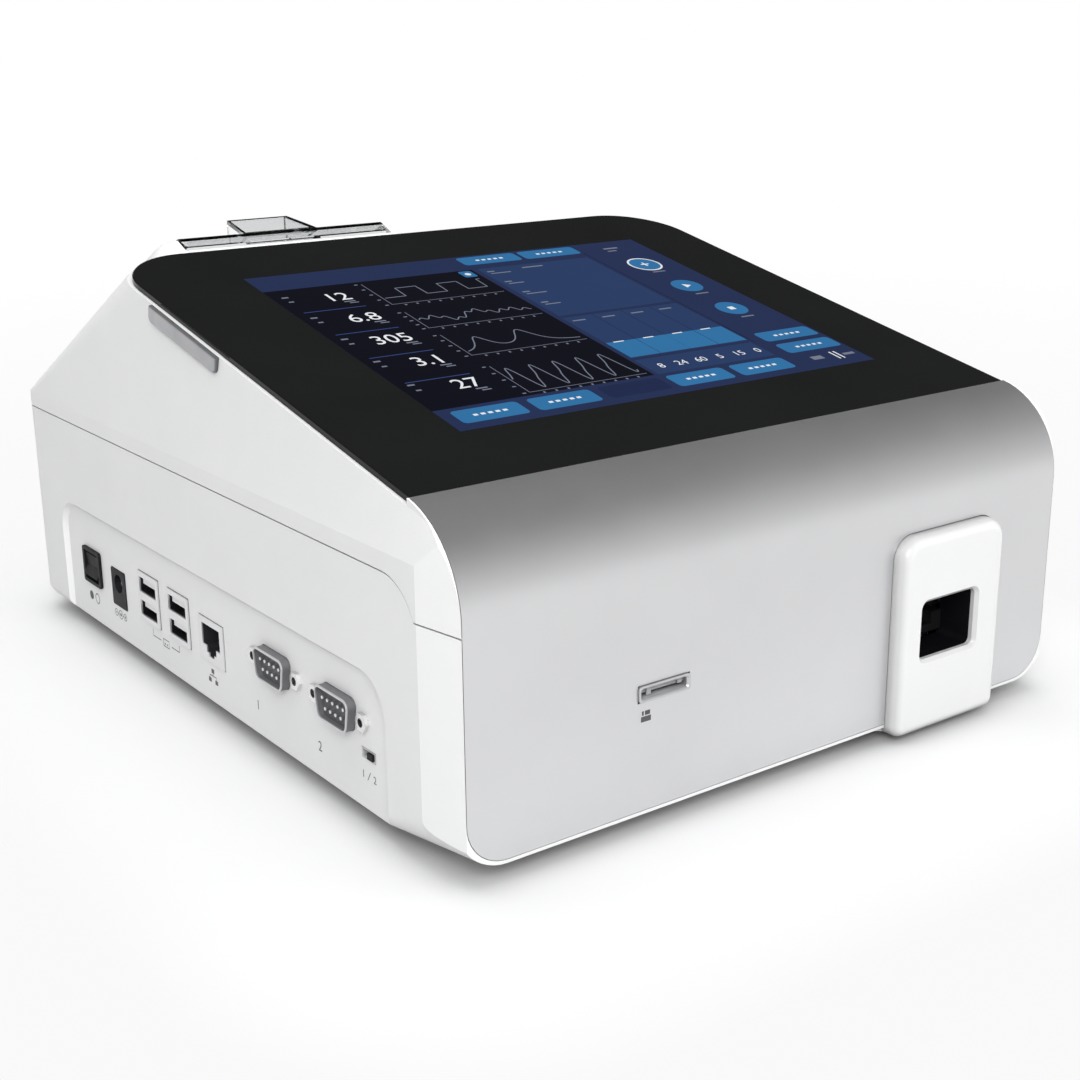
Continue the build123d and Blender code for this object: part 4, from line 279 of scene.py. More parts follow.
def clear_surface(name, tint, rough, ior, absorbs=0.0):
    """Clear plastic or glass with flow marks and haze, darker through its length if it absorbs."""
    mat, tree, shader = new_material(name)
    vector = place(tree)
    shader.inputs["Transmission Weight"].default_value = 1.0
    shader.inputs["IOR"].default_value = ior
    flow = noise(tree, vector, 45, 2.0)
    colour = blend_colours(tree, spread(tree, flow, 0, 1), tint, (1, 1, 1))
    tree.links.new(colour, shader.inputs["Base Color"])
    if absorbs:
        depth = tree.nodes.new("ShaderNodeVolumeAbsorption")
        depth.inputs["Color"].default_value = (0.5, 0.52, 0.54, 1)
        depth.inputs["Density"].default_value = absorbs
        out = tree.nodes["Material Output"]
        tree.links.new(depth.outputs["Volume"], out.inputs["Volume"])
    haze = noise(tree, vector, 320, 4.0, 0.6)
    hazy = spread(tree, haze, *rough, start=0.4, end=0.75)
    tree.links.new(hazy, shader.inputs["Roughness"])
    bump(tree, shader, flow, 0.12 * MM, 0.5)
    return mat


def lamp_surface(name):
    """Pale strip behind the clear side bar, slightly uneven."""
    mat, tree, shader = new_material(name)
    vector = place(tree)
    glow = noise(tree, vector, 60, 2.0)
    colour = blend_colours(tree, spread(tree, glow, 0, 1), (0.74, 0.76, 0.8), (0.86, 0.87, 0.9))
    tree.links.new(colour, shader.inputs["Base Color"])
    tree.links.new(spread(tree, glow, 0.4, 0.55), shader.inputs["Roughness"])
    bump(tree, shader, noise(tree, vector, 1500), 0.02 * MM)
    return mat


def frosted_surface(name, low, high):
    """Milky side bar, translucent and satin, with painted shade in its gaps, at its edges and on
    faces turned away from the left.
    """
    mat, tree, shader = new_material(name)
    vector = place(tree)
    glow = noise(tree, vector, 70, 2.0)
    colour = blend_colours(tree, spread(tree, glow, 0, 1), low, high)
    colour = shade_flanks(tree, shade_gaps(tree, colour, 2.5 * MM, 0.3), LEFT, 0.35)
    tree.links.new(colour, shader.inputs["Base Color"])
    shader.inputs["Subsurface Weight"].default_value = 0.25
    shader.inputs["Subsurface Scale"].default_value = 1.5 * MM
    shader.inputs["Coat Weight"].default_value = 0.5
    shader.inputs["Coat Roughness"].default_value = 0.12
    satin = noise(tree, vector, 500, 3.0)
    tree.links.new(spread(tree, satin, 0.3, 0.42), shader.inputs["Roughness"])
    bump(tree, shader, noise(tree, vector, 1800), 0.01 * MM)
    return mat


def port_metal(name, rim, inside_shade, face_x):
    """Plated shell that is bright at its rim, with painted shade behind the plane x = face_x, where
    the mouth is dark.
    """
    mat, tree, shader = new_material(name)
    where = tree.nodes.new("ShaderNodeTexCoord")
    split = tree.nodes.new("ShaderNodeSeparateXYZ")
    tree.links.new(where.outputs["Object"], split.inputs["Vector"])
    depth = spread(tree, split.outputs["X"], 0, 1, start=face_x, end=face_x + RIM_FADE)
    grain = noise(tree, where.outputs["Object"], 900, 3.0)
    tree.links.new(blend_colours(tree, depth, rim, inside_shade), shader.inputs["Base Color"])
    tree.links.new(spread(tree, depth, 0.8, 0.0, start=0, end=1), shader.inputs["Metallic"])
    tree.links.new(spread(tree, grain, 0.28, 0.42), shader.inputs["Roughness"])
    bump(tree, shader, grain, 0.004 * MM)
    return mat


def screen_surface(name, colour):
    """Lit screen colour under the glass's gloss, a little uneven as a backlight is."""
    mat, tree, shader = new_material(name)
    vector = place(tree)
    light = noise(tree, vector, 14, 2.0)
    dimmer = tuple(0.9 * part for part in colour)
    mixed = blend_colours(tree, spread(tree, light, 0, 1), dimmer, colour)
    shader.inputs["Base Color"].default_value = (0.003, 0.003, 0.004, 1)
    shader.inputs["IOR"].default_value = GLASS_IOR
    shader.inputs["Specular IOR Level"].default_value = 0.12
    tree.links.new(mixed, shader.inputs["Emission Color"])
    shader.inputs["Emission Strength"].default_value = 1.0
    film = noise(tree, vector, 400, 2.0)
    tree.links.new(spread(tree, film, 0.03, 0.06), shader.inputs["Roughness"])
    bump(tree, shader, film, 0.0015 * MM)
    return mat


# Looks of the record's slots
SURFACES = {
    # White shell: painted shade in its seams and recesses, and on faces turned away from the front,
    # so the side walls read darker than the front strip.
    "white_shell": dict(
        low=(0.845, 0.846, 0.848), high=(0.87, 0.87, 0.87), rough=(0.42, 0.5),
        grain=2400, depth=0.035 * MM, scuff=0.06, shade=(7 * MM, 0.5),
        flanks=(FRONT, 0.93, 0.02, 0.16), IOR=1.5,
    ),
    # Bezel: painted shade in its gaps, and on its flanks and top, which turn away from the front.
    "bezel_white": dict(
        low=(0.77, 0.771, 0.773), high=(0.79, 0.79, 0.79), rough=(0.16, 0.24),
        grain=1500, depth=0.006 * MM, scuff=0.08, shade=(6 * MM, 0.45), flanks=(FRONT, 0.76),
        Coat_Weight=0.2, Coat_Roughness=0.08, Specular_IOR_Level=0.35,
    ),
    "silver_sheet": dict(
        low=(0.67, 0.672, 0.68), high=(0.71, 0.712, 0.72), rough=(0.34, 0.4),
        grain=5200, depth=0.012 * MM, patch=14.0, scuff=0.05,
        Metallic=0.86, Coat_Weight=0.15, Coat_Roughness=0.25,
    ),
    "black_glass": dict(
        low=(0.0085, 0.0088, 0.009), high=(0.0105, 0.0108, 0.0111), rough=(0.04, 0.08),
        grain=400, depth=0.0015 * MM, patch=18.0, IOR=GLASS_IOR, Specular_IOR_Level=0.14,
    ),
    "display_body": dict(
        low=(0.06, 0.062, 0.065), high=(0.09, 0.092, 0.095), rough=(0.35, 0.5),
        grain=1800, depth=0.02 * MM,
    ),
    "zinc_sheet": dict(
        low=(0.42, 0.43, 0.44), high=(0.6, 0.61, 0.62), rough=(0.32, 0.5),
        grain=700, depth=0.01 * MM, patch=120.0, Metallic=1.0,
    ),
    "bright_metal": dict(
        low=(0.72, 0.715, 0.71), high=(0.78, 0.775, 0.77), rough=(0.2, 0.28),
        grain=1500, depth=0.003 * MM, patch=240.0, scuff=0.03, Metallic=1.0,
    ),
    "black_plastic": dict(
        low=(0.009, 0.009, 0.0105), high=(0.017, 0.017, 0.019), rough=(0.42, 0.56),
        grain=2600, depth=0.03 * MM, patch=60.0, scuff=0.1, Specular_IOR_Level=0.12,
    ),
    "foot_rubber": dict(
        low=(0.016, 0.016, 0.017), high=(0.032, 0.031, 0.03), rough=(0.7, 0.88),
        grain=1700, depth=0.06 * MM, patch=90.0,
    ),
    "grey_insulator": dict(
        low=(0.075, 0.077, 0.08), high=(0.105, 0.107, 0.11), rough=(0.42, 0.55),
        grain=2200, depth=0.02 * MM, patch=260.0,
    ),
    "gold_contact": dict(
        low=(0.85, 0.58, 0.22), high=(0.98, 0.74, 0.36), rough=(0.18, 0.3),
        grain=2500, depth=0.004 * MM, patch=150.0, Metallic=1.0,
    ),
    "cast_alloy": dict(
        low=(0.4, 0.41, 0.42), high=(0.52, 0.53, 0.54), rough=(0.45, 0.62),
        grain=1300, depth=0.06 * MM, patch=70.0, Metallic=0.9,
    ),
    "bronze_bush": dict(
        low=(0.5, 0.31, 0.15), high=(0.64, 0.42, 0.22), rough=(0.3, 0.45),
        grain=1900, depth=0.01 * MM, patch=120.0, Metallic=1.0,
    ),
    "gear_acetal": dict(
        low=(0.74, 0.73, 0.69), high=(0.82, 0.81, 0.78), rough=(0.32, 0.44),
        grain=1500, depth=0.01 * MM, patch=90.0, Subsurface_Weight=0.1,
    ),
    "motor_black": dict(
        low=(0.02, 0.02, 0.022), high=(0.045, 0.045, 0.048), rough=(0.34, 0.5),
        grain=900, depth=0.01 * MM, patch=90.0, Metallic=0.5,
    ),
    "optics_black": dict(
        low=(0.01, 0.01, 0.011), high=(0.018, 0.018, 0.02), rough=(0.5, 0.66),
        grain=1700, depth=0.03 * MM, patch=70.0,
    ),
    "grey_plastic": dict(
        low=(0.2, 0.205, 0.21), high=(0.25, 0.255, 0.26), rough=(0.4, 0.52),
        grain=2400, depth=0.03 * MM, patch=45.0,
    ),
    "paper": dict(
        low=(0.8, 0.79, 0.77), high=(0.86, 0.855, 0.84), rough=(0.75, 0.9),
        grain=1500, depth=0.03 * MM, patch=300.0, Subsurface_Weight=0.05,
    ),
}

# Looks of single nodes, which differ from their slot's
NODE_SURFACES = {
    "usb_tongues": dict(
        name="tongue_white", low=(0.8, 0.8, 0.8), high=(0.86, 0.86, 0.86), rough=(0.4, 0.5),
        grain=2200, depth=0.01 * MM, patch=80.0, shade=(0.9 * MM, 0.02),
    ),
    "mode_switch_body": dict(
        name="switch_grey", low=(0.5, 0.5, 0.505), high=(0.56, 0.56, 0.565), rough=(0.4, 0.5),
        grain=2400, depth=0.02 * MM, patch=90.0, shade=(2 * MM, 0.25),
    ),
    # The throat's near-black is its black plastic with the window's shade painted in, darker than
    # the other black plastic.
    "cassette_throat": dict(
        name="throat_black_and_shade", low=(0.002, 0.002, 0.0035), high=(0.003, 0.003, 0.005),
        rough=(0.6, 0.75), grain=2600, depth=0.03 * MM, patch=60.0, Specular_IOR_Level=0.15,
    ),
    "cassette_tray": dict(
        name="tray_face", low=(0.005, 0.005, 0.006), high=(0.009, 0.009, 0.01),
        rough=(0.4, 0.52), grain=2600, depth=0.02 * MM, patch=60.0, scuff=0.12,
        Specular_IOR_Level=0.25,
    ),
    "card_slot_frame": dict(
        name="slot_silver", low=(0.5, 0.502, 0.51), high=(0.55, 0.552, 0.56),
        rough=(0.34, 0.44), grain=2600, depth=0.01 * MM, patch=120.0, shade=(2 * MM, 0.3),
        Metallic=0.5,
    ),
}

# Port shells and pins: material, rim colour, inner colour that paints the mouth's shade, depth of
# the bright rim in mm
PORT_METALS = {
    "usb_shells": ("usb_metal", (0.74, 0.74, 0.745), (0.006, 0.006, 0.008), 0.4),
    "lan_jack": ("lan_metal", (0.74, 0.74, 0.745), (0.022, 0.022, 0.025), 0.25),
    "serial_shells": ("serial_metal", (0.62, 0.62, 0.63), (0.13, 0.13, 0.135), 0.25),
    "serial_pins": ("pin_metal", (0.82, 0.82, 0.83), (0.1, 0.1, 0.105), 0.12),
}

CLEAR_COVER_ABSORBS = 55.0

slot_looks = {name: surface(name, **look) for name, look in SURFACES.items()}
slot_looks.update({
    "clear_plastic": clear_surface(
        "clear_plastic", (0.95, 0.96, 0.97), (0.015, 0.05), 1.5, CLEAR_COVER_ABSORBS
    ),
    "lens_glass": clear_surface("lens_glass", (0.86, 0.9, 0.97), (0.005, 0.02), GLASS_IOR),
    "lamp_strip": lamp_surface("lamp_strip"),
    "board_green": board_surface("board_green"),
    "board_parts": parts_surface("board_parts"),
    "screw_steel": brushed_surface(
        "screw_steel", (0.5, 0.5, 0.51), (0.62, 0.62, 0.63), (0.22, 0.36), (30, 30, 4)
    ),
    "rod_steel": brushed_surface(
        "rod_steel", (0.6, 0.6, 0.61), (0.7, 0.7, 0.71), (0.12, 0.24), (6, 90, 90)
    ),
})

node_looks = {node: surface(**look) for node, look in NODE_SURFACES.items()}
node_looks["side_lens"] = frosted_surface("side_frost", (0.3, 0.305, 0.32), (0.38, 0.385, 0.4))
for node, (name, rim, inside_shade, depth) in PORT_METALS.items():
    node_looks[node] = port_metal(name, rim, inside_shade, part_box(node)[0].x + depth * MM)

for node, part in nodes.items():
    slot = part.data.materials[0].name.split(".")[0]
    part.data.materials[0] = node_looks[node] if node in node_looks else slot_looks[slot]


# Flat pictures and marks

class Sheet:
    """Flat shapes of one material on a face; x runs right and y up on it, in mm."""

    def __init__(self, name, lift):
        self.name = name
        self.lift = lift
        self.points = []
        self.faces = []

    def add(self, outline):
        """One face with this outline."""
        start = len(self.points)
        self.points.extend(outline)
        self.faces.append(tuple(range(start, start + len(outline))))

    def box(self, left, low, right, high, corner=0.0, steps=5):
        """Rectangle, with round corners where asked."""
        if not corner:
            self.add([(left, low), (right, low), (right, high), (left, high)])
            return
        outline = []
        for x, y, start in (
            (right - corner, low + corner, -90),
            (right - corner, high - corner, 0),
            (left + corner, high - corner, 90),
            (left + corner, low + corner, 180),
        ):
            for step in range(steps + 1):
                angle = radians(start + 90 * step / steps)
                outline.append((x + corner * cos(angle), y + corner * sin(angle)))
        self.add(outline)

    def bar(self, x, y, wide, tall):
        """Rectangle about its middle."""
        self.box(x - wide / 2, y - tall / 2, x + wide / 2, y + tall / 2)

    def ring(self, x, y, outer, inner, steps=40):
        """Ring of quads."""
        for step in range(steps):
            a = 2 * pi * step / steps
            b = 2 * pi * (step + 1) / steps
            self.add([
                (x + inner * cos(a), y + inner * sin(a)),
                (x + outer * cos(a), y + outer * sin(a)),
                (x + outer * cos(b), y + outer * sin(b)),
                (x + inner * cos(b), y + inner * sin(b)),
            ])

    def disc(self, x, y, radius, steps=40):
        """Filled circle."""
        angles = [2 * pi * step / steps for step in range(steps)]
        self.add([(x + radius * cos(angle), y + radius * sin(angle)) for angle in angles])

    def line(self, points, width):
        """Ribbon along the points."""
        sides = []
        for index, (x, y) in enumerate(points):
            before = Vector(points[max(index - 1, 0)])
            after = Vector(points[min(index + 1, len(points) - 1)])
            ahead = (after - before).normalized()
            across = Vector((-ahead.y, ahead.x)) * width / 2
            sides.append(((x + across.x, y + across.y), (x - across.x, y - across.y)))
        for (a, b), (c, d) in zip(sides, sides[1:]):
            self.add([b, d, c, a])

    def number(self, text, x, y, height, align="CENTER"):
        """Figures in Blender's own font, `height` mm tall."""
        curve = bpy.data.curves.new("figures", "FONT")
        curve.body = text
        curve.size = height * 1.4
        curve.align_x = align
        curve.resolution_u = 3
        helper = bpy.data.objects.new("figures", curve)
        bpy.context.scene.collection.objects.link(helper)
        evaluated = helper.evaluated_get(bpy.context.evaluated_depsgraph_get())
        mesh = bpy.data.meshes.new_from_object(evaluated)
        start = len(self.points)
        self.points.extend((x + v.co.x, y + v.co.y) for v in mesh.vertices)
        self.faces.extend(tuple(start + i for i in face.vertices) for face in mesh.polygons)
        bpy.data.objects.remove(helper)
        bpy.data.meshes.remove(mesh)
        bpy.data.curves.remove(curve)

    def build(self, material, face, body, slot):
        """The shapes as one object on the face: its start, right, up and outward directions."""
        start, right, up, outward = face
        base = start + outward * self.lift * MM
        mesh = bpy.data.meshes.new(self.name)
        points = [base + right * (x * MM) + up * (y * MM) for x, y in self.points]
        mesh.from_pydata(points, [], self.faces)
        mesh.update()
        piece = bpy.data.objects.new(self.name, mesh)
        bpy.context.scene.collection.objects.link(piece)
        mesh.materials.append(material)
        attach(piece, body)


# Page on the screen: places are shares of its width and height, areas are given as
# left, low, right and high, and heights of figures, lines, marks and radii are in mm

SMALL_KEY = (0.455, 0.845, 0.487, 0.89)
SMALL_KEY_CORNER = 0.9
SMALL_KEY_DOT = (0.471, 0.867)
SMALL_KEY_DOT_RADIUS = 1.1
KEYS = (
    (0.5, 0.93, 0.652, 0.99),
    (0.662, 0.93, 0.815, 0.99),
    (0.846, 0.19, 0.994, 0.25),
    (0.846, 0.107, 0.994, 0.168),
    (0.025, 0.03, 0.165, 0.096),
    (0.186, 0.03, 0.326, 0.096),
    (0.508, 0.03, 0.648, 0.096),
    (0.667, 0.03, 0.807, 0.096),
)
EMPTY_KEY = (0.345, 0.03, 0.49, 0.096)
KEY_CORNER = 1.5
KEY_DOT_STEP = 2.4
KEY_DOT = (1.4, 1.1)

TRACE_FIELD = (0, 0.112, 0.495, 0.896)
READINGS = ("12", "6.8", "305", "3.1", "27")
READING_END = 0.158
READING_FOOT = 0.788
READING_STEP = 0.1475
READING_HEIGHT = 6.4
# Small dashes beside each reading: left and right share, low and high mm from its foot
READING_DASHES = (
    (0.13, 0.155, -1.8, -1.1),
    (0.138, 0.158, -3.1, -2.5),
    (0.02, 0.035, 6.4, 7.3),
    (0.023, 0.034, 2.6, 3.4),
)
DIVIDER_ENDS = (0.022, 0.16)
DIVIDER_LEVEL = 0.733
DIVIDER_STEP = 0.1555
DIVIDER_LINE = 0.4

GRAPH_LEFT = 0.214
GRAPH_RIGHT = 0.486
GRAPH_STEPS = 160
GRAPH_INSET = 1
AXIS_LINE = 0.25
TRACE_LINE = 0.42
# Distance from the axis, width and height of the marks beside and below it
LEVEL_MARK = (1.8, 1.2, 0.6)
TIME_MARK = (1.25, 0.7, 0.9)

RESULT_PANEL = (0.51, 0.52, 0.808, 0.896)
RESULT_LEVEL = 0.865
RESULT_STEP = 0.083
RESULT_HEADING = (0.615, 0.868, 0.67, 0.9)
TABLE = (0.508, 0.218, 0.81, 0.505)
TABLE_FOOT = (0.508, 0.222, 0.81, 0.322)
TABLE_COLUMN = 0.0755
TABLE_LINE = 0.3
TABLE_TEXT = 0.52
TABLE_HEAD_LEVEL = 0.475
TABLE_FOOT_LEVEL = 0.318
COUNT_PANEL = (0.505, 0.112, 0.808, 0.204)
COUNTS = ("8", "24", "60", "5", "15", "0")
COUNT_START = 0.54
COUNT_STEP = 0.05
COUNT_FOOT = 0.142
COUNT_HEIGHT = 3.2
SIDE_RULE = (0.817, 0.2, 0.8185, 0.93)

ROUND_KEY_MIDDLE = 0.912
ROUND_KEY_LEVELS = (0.796, 0.61, 0.424)
ROUND_KEY_RADIUS = 5.6
ROUND_KEY_RIM = 0.7
# Label below a round key: left and right share, low and high mm from the key's middle
ROUND_KEY_LABEL = (0.895, 0.93, -8.2, -7.4)

# Rules in the page's head: left, low and right share, height in mm
HEAD_RULES = ((0.885, 0.94, 0.925, 1.1), (0.885, 0.92, 0.91, 0.8))
FOOT_BARS = ((0.93, 0.035, 0.934, 0.08), (0.942, 0.035, 0.946, 0.08))
FOOT_RULES = ((0.87, 0.05, 0.9, 0.07), (0.955, 0.05, 0.985, 0.062))


def square_wave(share):
    """Steps between two levels."""
    return 0.68 if (share * 2.6) % 1 > 0.5 else 0.3


def uneven_wave(share):
    """Slow swell with a small ripple."""
    return 0.5 + 0.2 * sin(share * 15) * sin(share * 4) + 0.07 * sin(share * 61)


def two_peaks(share):
    """A low and a high peak on a flat base, as a scan of a test strip gives."""
    first = 0.62 / (1 + ((share - 0.2) / 0.08) ** 2)
    second = 0.7 / (1 + ((share - 0.6) / 0.1) ** 2)
    return 0.08 + first + second


def even_wave(share):
    """Regular wave with a second harmonic."""
    return 0.48 + 0.34 * sin(share * 30) - 0.1 * sin(share * 60)


# Foot as a share of the screen's height, height in mm, and the curve
GRAPHS = (
    (0.722, 19.0, square_wave),
    (0.55, 14.0, uneven_wave),
    (0.362, 17.0, two_peaks),
    (0.126, 20.0, even_wave),
)


def build_screen():
    """The machine's running page: readings, traces, a result panel, a table and keys."""
    width = SCREEN_RIGHT - SCREEN_LEFT
    height = SCREEN_HIGH - SCREEN_LOW
    ground = Sheet("screen_ground", 0.02)
    fields = Sheet("screen_fields", 0.04)
    panels = Sheet("screen_panels", 0.04)
    keys = Sheet("screen_keys", 0.06)
    figures = Sheet("screen_figures", 0.08)
    scales = Sheet("screen_scales", 0.06)
    traces = Sheet("screen_traces", 0.06)
    border = Sheet("screen_border", 0.06)

    def x(share):
        return SCREEN_LEFT + share * width

    def y(share):
        return SCREEN_LOW + share * height

    def area(sheet, left, low, right, high, corner=0.0):
        sheet.box(x(left), y(low), x(right), y(high), corner)

    def rule(left, low, right, tall):
        scales.box(x(left), y(low), x(right), y(low) + tall)

    def key(left, low, right, high):
        area(keys, left, low, right, high, KEY_CORNER)
        middle = (x(left) + x(right)) / 2
        level = (y(low) + y(high)) / 2
        for step in range(-2, 3):
            figures.bar(middle + KEY_DOT_STEP * step, level, *KEY_DOT)

    area(ground, 0, 0, 1, 1)
    area(fields, *TRACE_FIELD)
    area(keys, *SMALL_KEY, SMALL_KEY_CORNER)
    across, level = SMALL_KEY_DOT
    figures.disc(x(across), y(level), SMALL_KEY_DOT_RADIUS)
    for corners in KEYS:
        key(*corners)
    area(border, *EMPTY_KEY, KEY_CORNER)

    for row, reading in enumerate(READINGS):
        foot = y(READING_FOOT - READING_STEP * row)
        figures.number(reading, x(READING_END), foot, READING_HEIGHT, "RIGHT")
        for left, right, low, high in READING_DASHES:
            scales.box(x(left), foot + low, x(right), foot + high)
    for row in range(len(READINGS) - 1):
        level = y(DIVIDER_LEVEL - DIVIDER_STEP * row)
        left, right = DIVIDER_ENDS
        traces.box(x(left), level, x(right), level + DIVIDER_LINE)

    left = x(GRAPH_LEFT)
    wide = x(GRAPH_RIGHT) - left
    aside, level_wide, level_tall = LEVEL_MARK
    below, time_wide, time_tall = TIME_MARK
    shares = [step / GRAPH_STEPS for step in range(GRAPH_STEPS + 1)]
    places = [left + GRAPH_INSET + share * (wide - 2 * GRAPH_INSET) for share in shares]
    for foot_share, tall, curve in GRAPHS:
        foot = y(foot_share)
        scales.box(left, foot, left + wide, foot + AXIS_LINE)
        scales.box(left, foot, left + AXIS_LINE, foot + tall)
        for mark in range(5):
            scales.bar(left - aside, foot + tall * mark / 4, level_wide, level_tall)
        for mark in range(1, 10):
            scales.bar(left + wide * mark / 10, foot - below, time_wide, time_tall)
        levels = [foot + tall * curve(share) for share in shares]
        scales.line(list(zip(places, levels)), TRACE_LINE)

    area(panels, *RESULT_PANEL)
    for row in range(4):
        level = y(RESULT_LEVEL - RESULT_STEP * row)
        scales.box(x(0.522), level, x(0.54), level + 0.9)
        scales.box(x(0.524), level - 1.8, x(0.575 - 0.012 * (row % 2)), level - 1.1)
    rule(*RESULT_HEADING)

    area(panels, *TABLE)
    area(keys, *TABLE_FOOT)
    table_left, table_low, _, table_high = TABLE
    for column in range(1, 4):
        across = x(table_left + TABLE_COLUMN * column)
        border.box(
            across - TABLE_LINE / 2, y(table_low), across + TABLE_LINE / 2, y(table_high)
        )
    head, foot = y(TABLE_HEAD_LEVEL), y(TABLE_FOOT_LEVEL)
    for column in range(4):
        across = x(TABLE_TEXT + TABLE_COLUMN * column)
        scales.box(across, head, across + 5, head + 0.8)
        figures.box(across + 1, foot, across + 5, foot + 0.6)

    area(panels, *COUNT_PANEL)
    for cell, count in enumerate(COUNTS):
        figures.number(count, x(COUNT_START + COUNT_STEP * cell), y(COUNT_FOOT), COUNT_HEIGHT)
    area(fields, *SIDE_RULE)

    middle = x(ROUND_KEY_MIDDLE)
    plus, start, stop = (y(level) for level in ROUND_KEY_LEVELS)
    left, right, low, high = ROUND_KEY_LABEL
    for level in (plus, start, stop):
        keys.disc(middle, level, ROUND_KEY_RADIUS)
        scales.box(x(left), level + low, x(right), level + high)
    figures.ring(middle, plus, ROUND_KEY_RADIUS + ROUND_KEY_RIM, ROUND_KEY_RADIUS)
    figures.bar(middle, plus, 3.4, 0.7)
    figures.bar(middle, plus, 0.7, 3.4)
    figures.add([(middle - 1.1, start - 1.7), (middle + 1.8, start), (middle - 1.1, start + 1.7)])
    figures.bar(middle, stop, 2.4, 2.4)

    for corners in HEAD_RULES:
        rule(*corners)
    for corners in FOOT_BARS:
        area(figures, *corners)
    for corners in FOOT_RULES:
        area(scales, *corners)

    face = (GLASS_START, RIGHT, DISPLAY_UP, DISPLAY_OUT)
    for sheet, look, colour in (
        (ground, "screen_navy", (0.0168, 0.0284, 0.0865)),
        (fields, "screen_black", (0.0012, 0.0012, 0.006)),
        (panels, "screen_blue", (0.0203, 0.0452, 0.127)),
        (keys, "screen_bright", (0.03, 0.17, 0.385)),
        (figures, "screen_white", (0.85, 0.87, 0.9)),
        (scales, "screen_grey", (0.19, 0.21, 0.27)),
        (traces, "screen_trace", (0.04, 0.075, 0.24)),
        (border, "screen_pale_navy", (0.012, 0.021, 0.07)),
    ):
        sheet.build(screen_surface(look, colour), face, "casing", "black_glass")


# Printed marks: places in mm on the port panel, across from its front end (less than 0
# towards the rear) and up from the lower shell's foot

INK_LIFT = 0.03
INK_LINE = 0.3
POWER_DOT = (-231.4, 9.2)
POWER_RING = (-226.2, 9.2)
INLET_SIGN = (-206, 9.0)
INLET_POLE = 3.6
INLET_LINE = 0.26
USB_SIGN = -169.45
USB_REACH = 9.95
USB_PLUG = 2.15
NETWORK_SIGN = -135.7
NETWORK_BRANCH = 2.2
SERIAL_FIGURES = ((-106, "1"), (-69.5, "2"))
MODE_FIGURES = ((-46.4, "1"), (-40.6, "2"))
MODE_SLASH = ((-44.3, 9.2), (-42.7, 11.9))

# Card sign: mm from the shell's left front foot
CARD_SIGN = ((56.7, 26.0, 60.0, 27.5), (57.0, 27.8, 57.6, 29.0), (58.0, 27.8, 59.7, 29.0))


def build_marks():
    """Printed signs on the port panel and under the card slot; figures and pictograms only."""
    ink = surface(
        "print_grey", (0.06, 0.06, 0.063), (0.085, 0.085, 0.088), rough=(0.5, 0.6),
        grain=2400, depth=0.005 * MM, patch=300.0,
    )
    marks = Sheet("port_marks", INK_LIFT)
    marks.disc(*POWER_DOT, 1.6)
    marks.ring(*POWER_RING, 1.9, 1.55)

    middle, level = INLET_SIGN
    minus, plus = middle - INLET_POLE, middle + INLET_POLE
    for pole in (minus, plus):
        marks.ring(pole, level, 1.3, 1.05)
        marks.bar(pole, level, 1.2, INLET_LINE)
    marks.bar(plus, level, INLET_LINE, 1.2)
    marks.ring(middle, level, 1.6, 1.35)
    marks.disc(middle, level, 0.6)
    marks.bar(middle - 1.95, level, 0.7, 0.24)
    marks.bar(middle + 1.95, level, 0.7, 0.24)

    for side in (-1, 1):
        outer = USB_SIGN + side * USB_REACH
        marks.line([(outer, 11.8), (outer, 9.6), (USB_SIGN + side * 4.05, 9.6)], INK_LINE)
        marks.bar(USB_SIGN + side * 0.85, 9.3, 0.6, 0.6)
    plug_left, plug_right = USB_SIGN - USB_PLUG, USB_SIGN + USB_PLUG
    marks.line([
        (plug_left, 8.4), (plug_right, 8.4), (plug_right, 10.8), (plug_left, 10.8),
        (plug_left, 8.3),
    ], INK_LINE)

    branch_left = NETWORK_SIGN - NETWORK_BRANCH
    branch_right = NETWORK_SIGN + NETWORK_BRANCH
    for across, level in ((NETWORK_SIGN, 10.8), (branch_left, 7.6), (branch_right, 7.6)):
        marks.bar(across, level, 1.8, 1.4)
    marks.line([(NETWORK_SIGN, 10.2), (NETWORK_SIGN, 9.2)], INK_LINE)
    marks.line([
        (branch_left, 8.2), (branch_left, 9.2), (branch_right, 9.2), (branch_right, 8.2),
    ], INK_LINE)

    for across, text in SERIAL_FIGURES:
        marks.number(text, across, 8.4, 3.0)
    for across, text in MODE_FIGURES:
        marks.number(text, across, 9.4, 2.2)
    marks.line(MODE_SLASH, 0.25)

    card = Sheet("card_mark", INK_LIFT)
    for corners in CARD_SIGN:
        card.box(*corners)

    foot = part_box("lower_shell")[0]
    panel = foot + RIGHT * PORT_PANEL_RECESS
    marks.build(ink, (panel, FRONT, UP, LEFT), "casing", "grey_plastic")
    card.build(ink, (foot, RIGHT, UP, FRONT), "casing", "grey_plastic")


# Card slot's moulded lead-in, in metres

GUIDE_INSET = 0.3 * MM
SILL_DEPTH = 1.4 * MM
PLATE_THICK = 1.0 * MM
SILL_RISE = 0.25 * MM
MOUTH_TALL = 0.8 * MM
RIB_WIDE = 1.5 * MM
RIB_PROUD = 0.5 * MM
SHORT_RIB_SHARE = 0.88
LONG_RIB_SHARE = 0.2
GUIDE_EDGE = 0.06 * MM


def add_prism(shape, outline, start, end):
    """Outline in y and z, drawn out from x = start to x = end."""
    rings = [[shape.verts.new((x, y, z)) for y, z in outline] for x in (start, end)]
    shape.faces.new(rings[0])
    shape.faces.new(list(reversed(rings[1])))
    count = len(outline)
    for index in range(count):
        after = (index + 1) % count
        shape.faces.new((rings[0][after], rings[0][index], rings[1][index], rings[1][after]))


